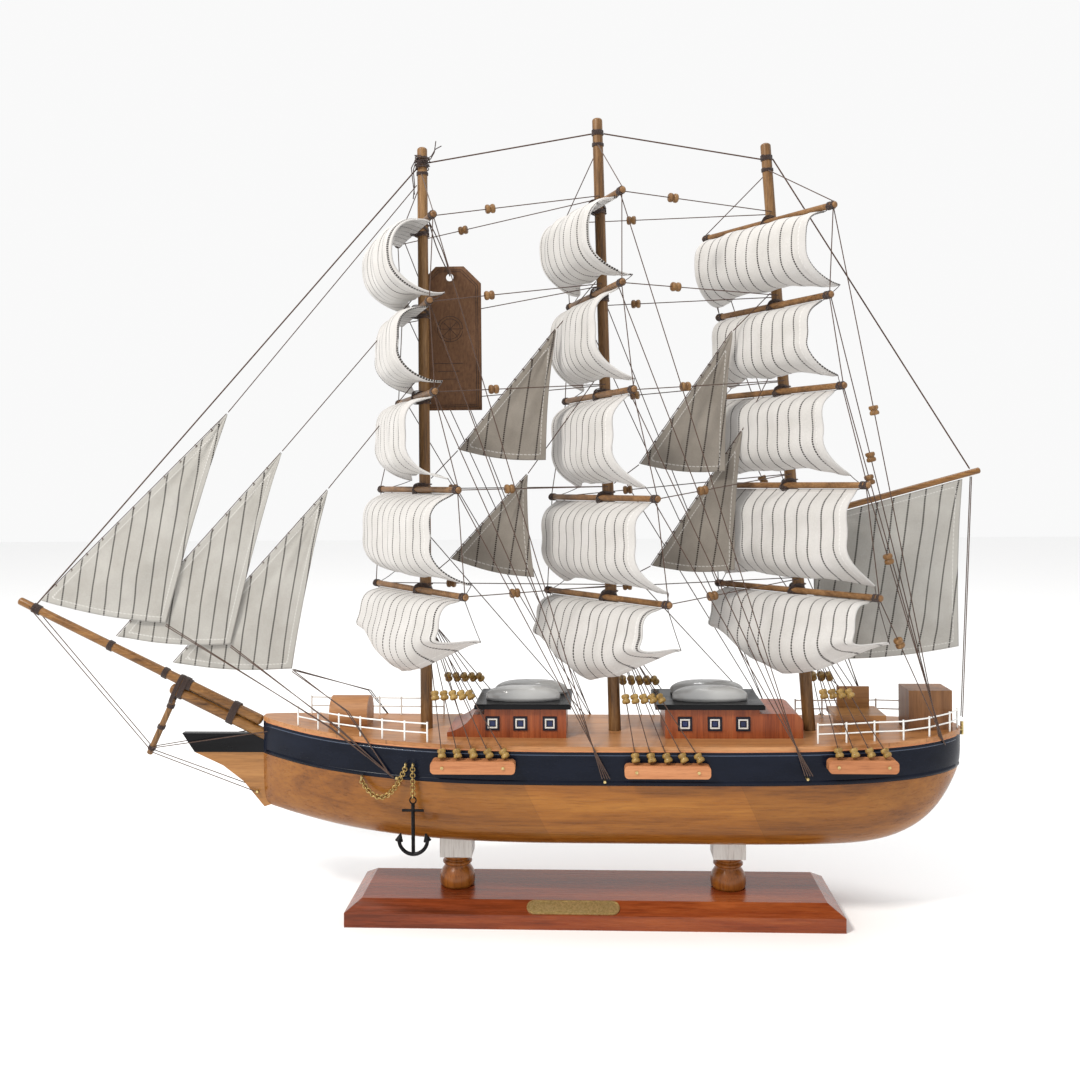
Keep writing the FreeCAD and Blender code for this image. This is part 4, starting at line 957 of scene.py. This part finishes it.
# how far the lower corners are drawn back and up to the yard ends below, in millimetres per level
LIP_BACK = {1: 8, 2: 8, 3: 8, 4: 9, 5: 22}
LIP_UP = {1: -5, 2: -5, 3: -5, 4: -5, 5: 12}
FOOT_DIP = {1: 2, 2: 2, 3: 2.5, 4: 3, 5: 10}
CORNER_SPREAD = 0.1
corner_ties = []


def yard_ends(centre):
    """End points of the yard whose middle is nearest to a place, starboard end first."""
    return min(yard_bars, key=lambda bar: ((bar[0] + bar[1]) / 2 - centre).length)[:2]


def slack_line(start, end, sag, steps=8):
    shares = [i / steps for i in range(steps + 1)]
    return [start.lerp(end, share) - UP * (sag * 4 * share * (1 - share)) for share in shares]


# how far each level's curve is pushed out at its quarter points, in millimetres
SQUARENESS = {1: 1.5, 2: 2.5, 3: 3.0, 4: 3.0, 5: 3.0}


def square_sail(mast, level, seed):
    node = "%s_sail_%d" % (mast, level)
    centre, axis, forward, radius, top, bottom, half = arc_of(node)
    length = radius * (top - bottom)
    across = spaced(34, 2 * HEM / (2 * half))
    down = [(v + 1) / 2 for v in spaced(30, 2 * HEM / length)]
    rows, flat_uv, inset = [], [], []
    for t in down:
        line = []
        for s in across:
            turn = top + (bottom - top) * t
            drawn = smooth_step(0.45, 1, abs(s)) * smooth_step(0.6, 1, t)
            swell = (1 - s * s) * sin(pi * t ** 1.25) * SAIL_BELLY
            fold = drift(s * 3.1 + seed, t * 1.4, seed * 0.7)
            ripple = drift(s * 9 + seed, t * 4.5, seed * 1.3)
            boxy = SQUARENESS[level] * MM * sin(2 * pi * t) ** 2
            push = swell + boxy + (fold * 1.5 + ripple * 0.6) * MM * smooth_step(0, 0.25, t)
            curl = LEECH_CURL * smooth_step(0.93, 1, abs(s)) * sin(pi * min(t * 1.1, 1))
            point = centre + axis * (s * half * (1 + CORNER_SPREAD * drawn))
            out = forward * cos(turn) + UP * sin(turn)
            point += out * (radius + push - curl)
            point -= forward * (LIP_BACK[level] * MM * drawn)
            point.z += LIP_UP[level] * MM * drawn
            point.z -= (1 - abs(s)) ** 1.2 * smooth_step(0.4, 1, t) * FOOT_DIP[level] * MM
            line.append(point)
            flat_uv.append((s * half + seed * STRIPE_GAP * 0.37, t * length))
            inset.append(min((1 - abs(s)) * half, t * length, (1 - t) * length))
        rows.append(line)
    piece = finish_sheet(node, rows, flat_uv, inset, "sail")
    head_middle = rows[0][len(rows[0]) // 2]
    ends = yard_ends(head_middle)
    foot_ends = yard_ends(head_middle - Vector((0, 0, length))) if level < 5 else ends
    for row, targets in ((rows[0], ends), (rows[-1], foot_ends)):
        for corner, target in ((row[0], targets[0]), (row[-1], targets[1])):
            if (corner - target).length < TIE_REACH:
                inward = (targets[1] - targets[0]).normalized() * TIE_INWARD
                inward = inward if target is targets[0] else -inward
                corner_ties.append(slack_line(corner, target + inward, TIE_SAG))


for index, (mast, level) in enumerate((m, level) for m in MASTS for level in SAIL_LEVELS):
    square_sail(mast, level, index + 1)
tube_curve("corner_ties", corner_ties, 0.24 * MM, M["dark_thread"])


# ---- jibs, staysails and spanker

def outline_corners(node, count):
    """The corners of a flat sail's outline, found as its outermost points."""
    points = [v.co.copy() for v in NODES[node].data.vertices]
    middle = mean(points)
    corners = [max(points, key=lambda p: (p - middle).length)]
    while len(corners) < count:
        corners.append(max(points, key=lambda p: min((p - c).length for c in corners)))
    aside = (max(p.y for p in points) + min(p.y for p in points)) / 2
    return [Vector((c.x, aside, c.z)) for c in corners]


def edge_distance(point, start, end):
    way = end - start
    share = min(max((point - start).dot(way) / way.length_squared, 0), 1)
    return (point - start - way * share).length


SHARES = [0, 0.012, 0.03, 0.055, 0.075]
SHARES += [0.1 + 0.8 * i / 26 for i in range(27)] + [1 - s for s in reversed(SHARES)]


CREASE = 2.4 * MM
WRINKLE = 0.8 * MM
FOOT_ROUND = 2.5 * MM
LEECH_ROUND = 1.5 * MM


def flat_sail(node, corner_count, seed, billow, material):
    """Sheet between its corners: hollow-cut edges, a soft belly and creases from the corners."""
    corners = outline_corners(node, corner_count)
    corners.sort(key=lambda c: -c.z)
    if corner_count == 3:
        head, (fore, aft) = corners[0], sorted(corners[1:], key=lambda c: c.x)
        top_fore = top_aft = head
    else:
        top_fore, top_aft = sorted(corners[:2], key=lambda c: c.x)
        fore, aft = sorted(corners[2:], key=lambda c: c.x)
    sides = [(top_fore, fore), (fore, aft), (aft, top_aft)]
    if corner_count == 4:
        sides.append((top_aft, top_fore))
    rows, flat_uv, inset = [], [], []
    size = (top_fore - fore).length
    for t in SHARES:
        line = []
        left = top_fore.lerp(fore, t)
        right_end = top_aft.lerp(aft, t)
        for s in SHARES:
            point = left.lerp(right_end, s)
            depth = min(edge_distance(point, a, b) for a, b in sides)
            bag = smooth_step(0, size * 0.3, depth)
            crease = drift(s * 5 + seed, t * 3, 0.3 * seed)
            fine = drift(point.x * 60 + seed, point.z * 22, 0.9)
            place = point.copy()
            loose = (0.3 + bag) * smooth_step(0, 0.06, t)
            place.y += -billow * MM * bag + (crease * CREASE + fine * WRINKLE) * loose
            place.z -= FOOT_ROUND * smooth_step(0.6, 1, t) * sin(pi * s)
            place.x -= LEECH_ROUND * smooth_step(0.7, 1, s) * sin(pi * t)
            line.append(place)
            lean = (point.z - fore.z) * 0.16
            flat_uv.append((point.x - fore.x - lean, point.z - fore.z))
            inset.append(depth)
        rows.append(line)
    piece = finish_sheet(node, rows, flat_uv, inset, material)
    if corner_count == 3:
        merge = bmesh.new()
        merge.from_mesh(piece.data)
        bmesh.ops.remove_doubles(merge, verts=merge.verts, dist=1e-6)
        merge.to_mesh(piece.data)
        merge.free()
    return top_fore, fore


luffs = []
FLAT_SAILS = (("jib_1", 3, 2.5), ("jib_2", 3, 2.0), ("jib_3", 3, 2.0),
              ("fore_upper_staysail", 3, 1.5), ("fore_lower_staysail", 3, 1.5),
              ("aft_upper_staysail", 3, 1.5), ("aft_lower_staysail", 3, 1.5), ("spanker_sail", 4, 3.0))
for index, (node, corners, billow) in enumerate(FLAT_SAILS):
    # jibs and spanker take one darkened copy of the sail cotton and staysails a darker one, as painted shade
    cloth = "stay_cloth" if "staysail" in node else "jib_cloth"
    head, tack = flat_sail(node, corners, 40 + index * 3, billow, cloth)
    if corners == 3:
        luffs.append([head + (tack - head) * (i / 20) + Vector((-0.45, -0.2, 0.3)) * MM for i in range(21)])
        for i in range(1, 12):
            here = head + (tack - head) * (i / 12)
            luffs.append(wrap(here, (tack - head).normalized(), 0.9 * MM, 1.4, 0.9 * MM, 10))
tube_curve("luff_threads", luffs, 0.26 * MM, M["thread"])


# ---- nameplate rim

plate = loose_parts("nameplate")[0]
plate_points = plate[0]
plate_low, plate_high = part_box(plate)
plate_face, plate_out, _ = flat_axis(plate)
plate_out *= -copysign(1, plate_out.y)
plate_up = ALONG.cross(plate_out)
plate_half = (plate_high.x - plate_low.x) / 2
round_r = max(abs((p - plate_face).dot(plate_up)) for p in plate_points)
front = max((p - plate_face).dot(plate_out) for p in plate_points)
rim_line = []
for i in range(49):
    turn = tau * i / 48
    reach = round_r - 0.8 * MM
    along = copysign(plate_half - round_r, cos(turn)) + reach * cos(turn)
    rim_line.append(plate_face + ALONG * along + plate_up * (reach * sin(turn)) + plate_out * front)
tube_curve("nameplate_rim", [rim_line], 0.22 * MM, M["chain"])


# ---- tag

tag_parts = loose_parts("swing_tag")
card_low, card_high = part_box(min(tag_parts, key=lambda part: min(p.z for p in part[0])))
CARD_CLIP = 11 * MM
CARD_THICK = 0.6 * MM
CARD_CURL = 2.2
CARD_GRAIN = 6 * MM
STRING_BOW = 1.4 * MM
INK_PROUD = 0.32 * MM
HOLE_R = 2.4 * MM
card_middle_y = (card_low.y + card_high.y) / 2
hole = Vector(((card_low.x + card_high.x) / 2, 0, card_high.z - 7 * MM))


def card_y(x, z):
    """The slightly curled card's middle, at a place on its face."""
    share = (x - hole.x) / (card_high.x - card_low.x)
    lower = (card_high.z - z) / (card_high.z - card_low.z)
    return card_middle_y + (share * share * CARD_CURL + lower * lower) * MM


def card_sheet():
    """Card with clipped upper corners, a punched hole and a slight curl."""
    mesh = bmesh.new()
    x0, x1, z0, z1 = card_low.x, card_high.x, card_low.z, card_high.z
    outline = [(x0, z0), (x1, z0), (x1, z1 - CARD_CLIP), (x1 - CARD_CLIP, z1),
               (x0 + CARD_CLIP, z1), (x0, z1 - CARD_CLIP)]
    ring = [mesh.verts.new((x, 0, z)) for x, z in outline]
    edges = [mesh.edges.new((ring[i], ring[(i + 1) % 6])) for i in range(6)]
    punch = []
    for i in range(20):
        turn = tau * i / 20
        punch.append(mesh.verts.new((hole.x + HOLE_R * cos(turn), 0, hole.z + HOLE_R * sin(turn))))
    edges += [mesh.edges.new((punch[i], punch[(i + 1) % 20])) for i in range(20)]
    bmesh.ops.triangle_fill(mesh, use_beauty=True, use_dissolve=False, edges=edges)
    for _ in range(3):
        long_edges = [e for e in mesh.edges if e.calc_length() > CARD_GRAIN]
        bmesh.ops.subdivide_edges(mesh, edges=long_edges, cuts=1, use_grid_fill=True)
        bmesh.ops.triangulate(mesh, faces=mesh.faces)
    for vertex in mesh.verts:
        vertex.co.y = card_y(vertex.co.x, vertex.co.z)
    for face in mesh.faces:
        face.smooth = True
    data = bpy.data.meshes.new("tag_card")
    mesh.to_mesh(data)
    mesh.free()
    return data


card = add_object("tag_card", card_sheet(), M["card"], "tag_body")
thick = card.modifiers.new("card", "SOLIDIFY")
thick.thickness = CARD_THICK
thick.offset = 0
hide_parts("swing_tag")


def ink_line(corners, steps=14):
    line = []
    for (xa, za), (xb, zb) in zip(corners, corners[1:]):
        for i in range(steps):
            x = xa + (xb - xa) * i / steps
            z = za + (zb - za) * i / steps
            line.append(Vector((x, card_y(x, z) - INK_PROUD, z)))
    return line


ink_lines = []
for rim in (2.2 * MM, 3.4 * MM):
    x0, x1, z0, z1 = card_low.x + rim, card_high.x - rim, card_low.z + rim, card_high.z - rim
    clip = CARD_CLIP - rim * 0.4
    ink_lines.append(ink_line([(x0, z0), (x1, z0), (x1, z1 - clip), (x1 - clip, z1),
                               (x0 + clip, z1), (x0, z1 - clip), (x0, z0)]))
ring_z = card_low.z + 52 * MM
for radius in (6.5 * MM, 8.2 * MM):
    turns = [tau * i / 24 for i in range(25)]
    circle = [(hole.x + radius * cos(turn), ring_z + radius * sin(turn)) for turn in turns]
    ink_lines.append(ink_line(circle, 2))
for spoke in range(8):
    turn = tau * spoke / 8
    reach = (10.5 if spoke % 2 == 0 else 7.5) * MM
    tip = (hole.x + reach * cos(turn), ring_z + reach * sin(turn))
    ink_lines.append(ink_line([(hole.x, ring_z), tip], 5))
for row in range(3):
    half_row = (11 - 3 * row) * MM
    z = card_low.z + (30 - 5 * row) * MM
    ink_lines.append(ink_line([(hole.x - half_row, z), (hole.x + half_row, z)], 8))
tube_curve("tag_border", ink_lines, 0.16 * MM, M["ink"], "tag_body")

string_top = max((v.co.copy() for v in NODES["swing_tag"].data.vertices), key=lambda p: p.z)
string_lines = []
for side in (-1, 1):
    start = Vector((hole.x, card_middle_y + side * 0.9 * MM, hole.z + 1.6 * MM))
    shares = [i / 14 for i in range(15)]
    string_lines.append([start.lerp(string_top, share) + ALONG * (sin(pi * share) * side * STRING_BOW)
                         for share in shares])
string_lines.append([Vector((hole.x, card_middle_y + y * MM, hole.z + z * MM))
                     for y, z in ((-0.9, 1.6), (-0.7, 1.2), (0, 1.0), (0.7, 1.2), (0.9, 1.6))])
tube_curve("tag_string", string_lines, 0.38 * MM, M["string"], "tag_body")


# ---- stage and light

def area_light(name, place, target, size, power, colour=(1, 1, 1)):
    data = bpy.data.lights.new(name, "AREA")
    data.shape = "DISK"
    data.size = size
    data.energy = power
    data.color = colour
    obj = new_object(name, data)
    way = Vector(target) - Vector(place)
    obj.location = place
    obj.rotation_euler = way.to_track_quat("-Z", "Y").to_euler()


FLOOR = 4.0
corners = [(-FLOOR, -FLOOR, 0), (FLOOR, -FLOOR, 0), (FLOOR, FLOOR, 0), (-FLOOR, FLOOR, 0)]
floor = new_object("floor", mesh_of("floor", corners, [(0, 1, 2, 3)], False))
shader = Shader("floor_paper")
shader.set(Base_Color=(0.93, 0.93, 0.93, 1), Roughness=0.9, Specular_IOR_Level=0.1)
floor.data.materials.append(shader.material)
world = bpy.data.worlds.new("studio")
world.use_nodes = True
sky = world.node_tree.nodes["Background"]
sky.inputs["Color"].default_value = (1, 1, 1, 1)
sky.inputs["Strength"].default_value = 0.95
bpy.context.scene.world = world
bpy.context.scene.view_settings.view_transform = "Standard"
area_light("key", (-0.9, -1.0, 1.5), (0, 0, 0.2), 0.35, 27, (1, 0.96, 0.9))
area_light("top", (0.3, 0.2, 1.8), (0, 0, 0.2), 0.7, 8)
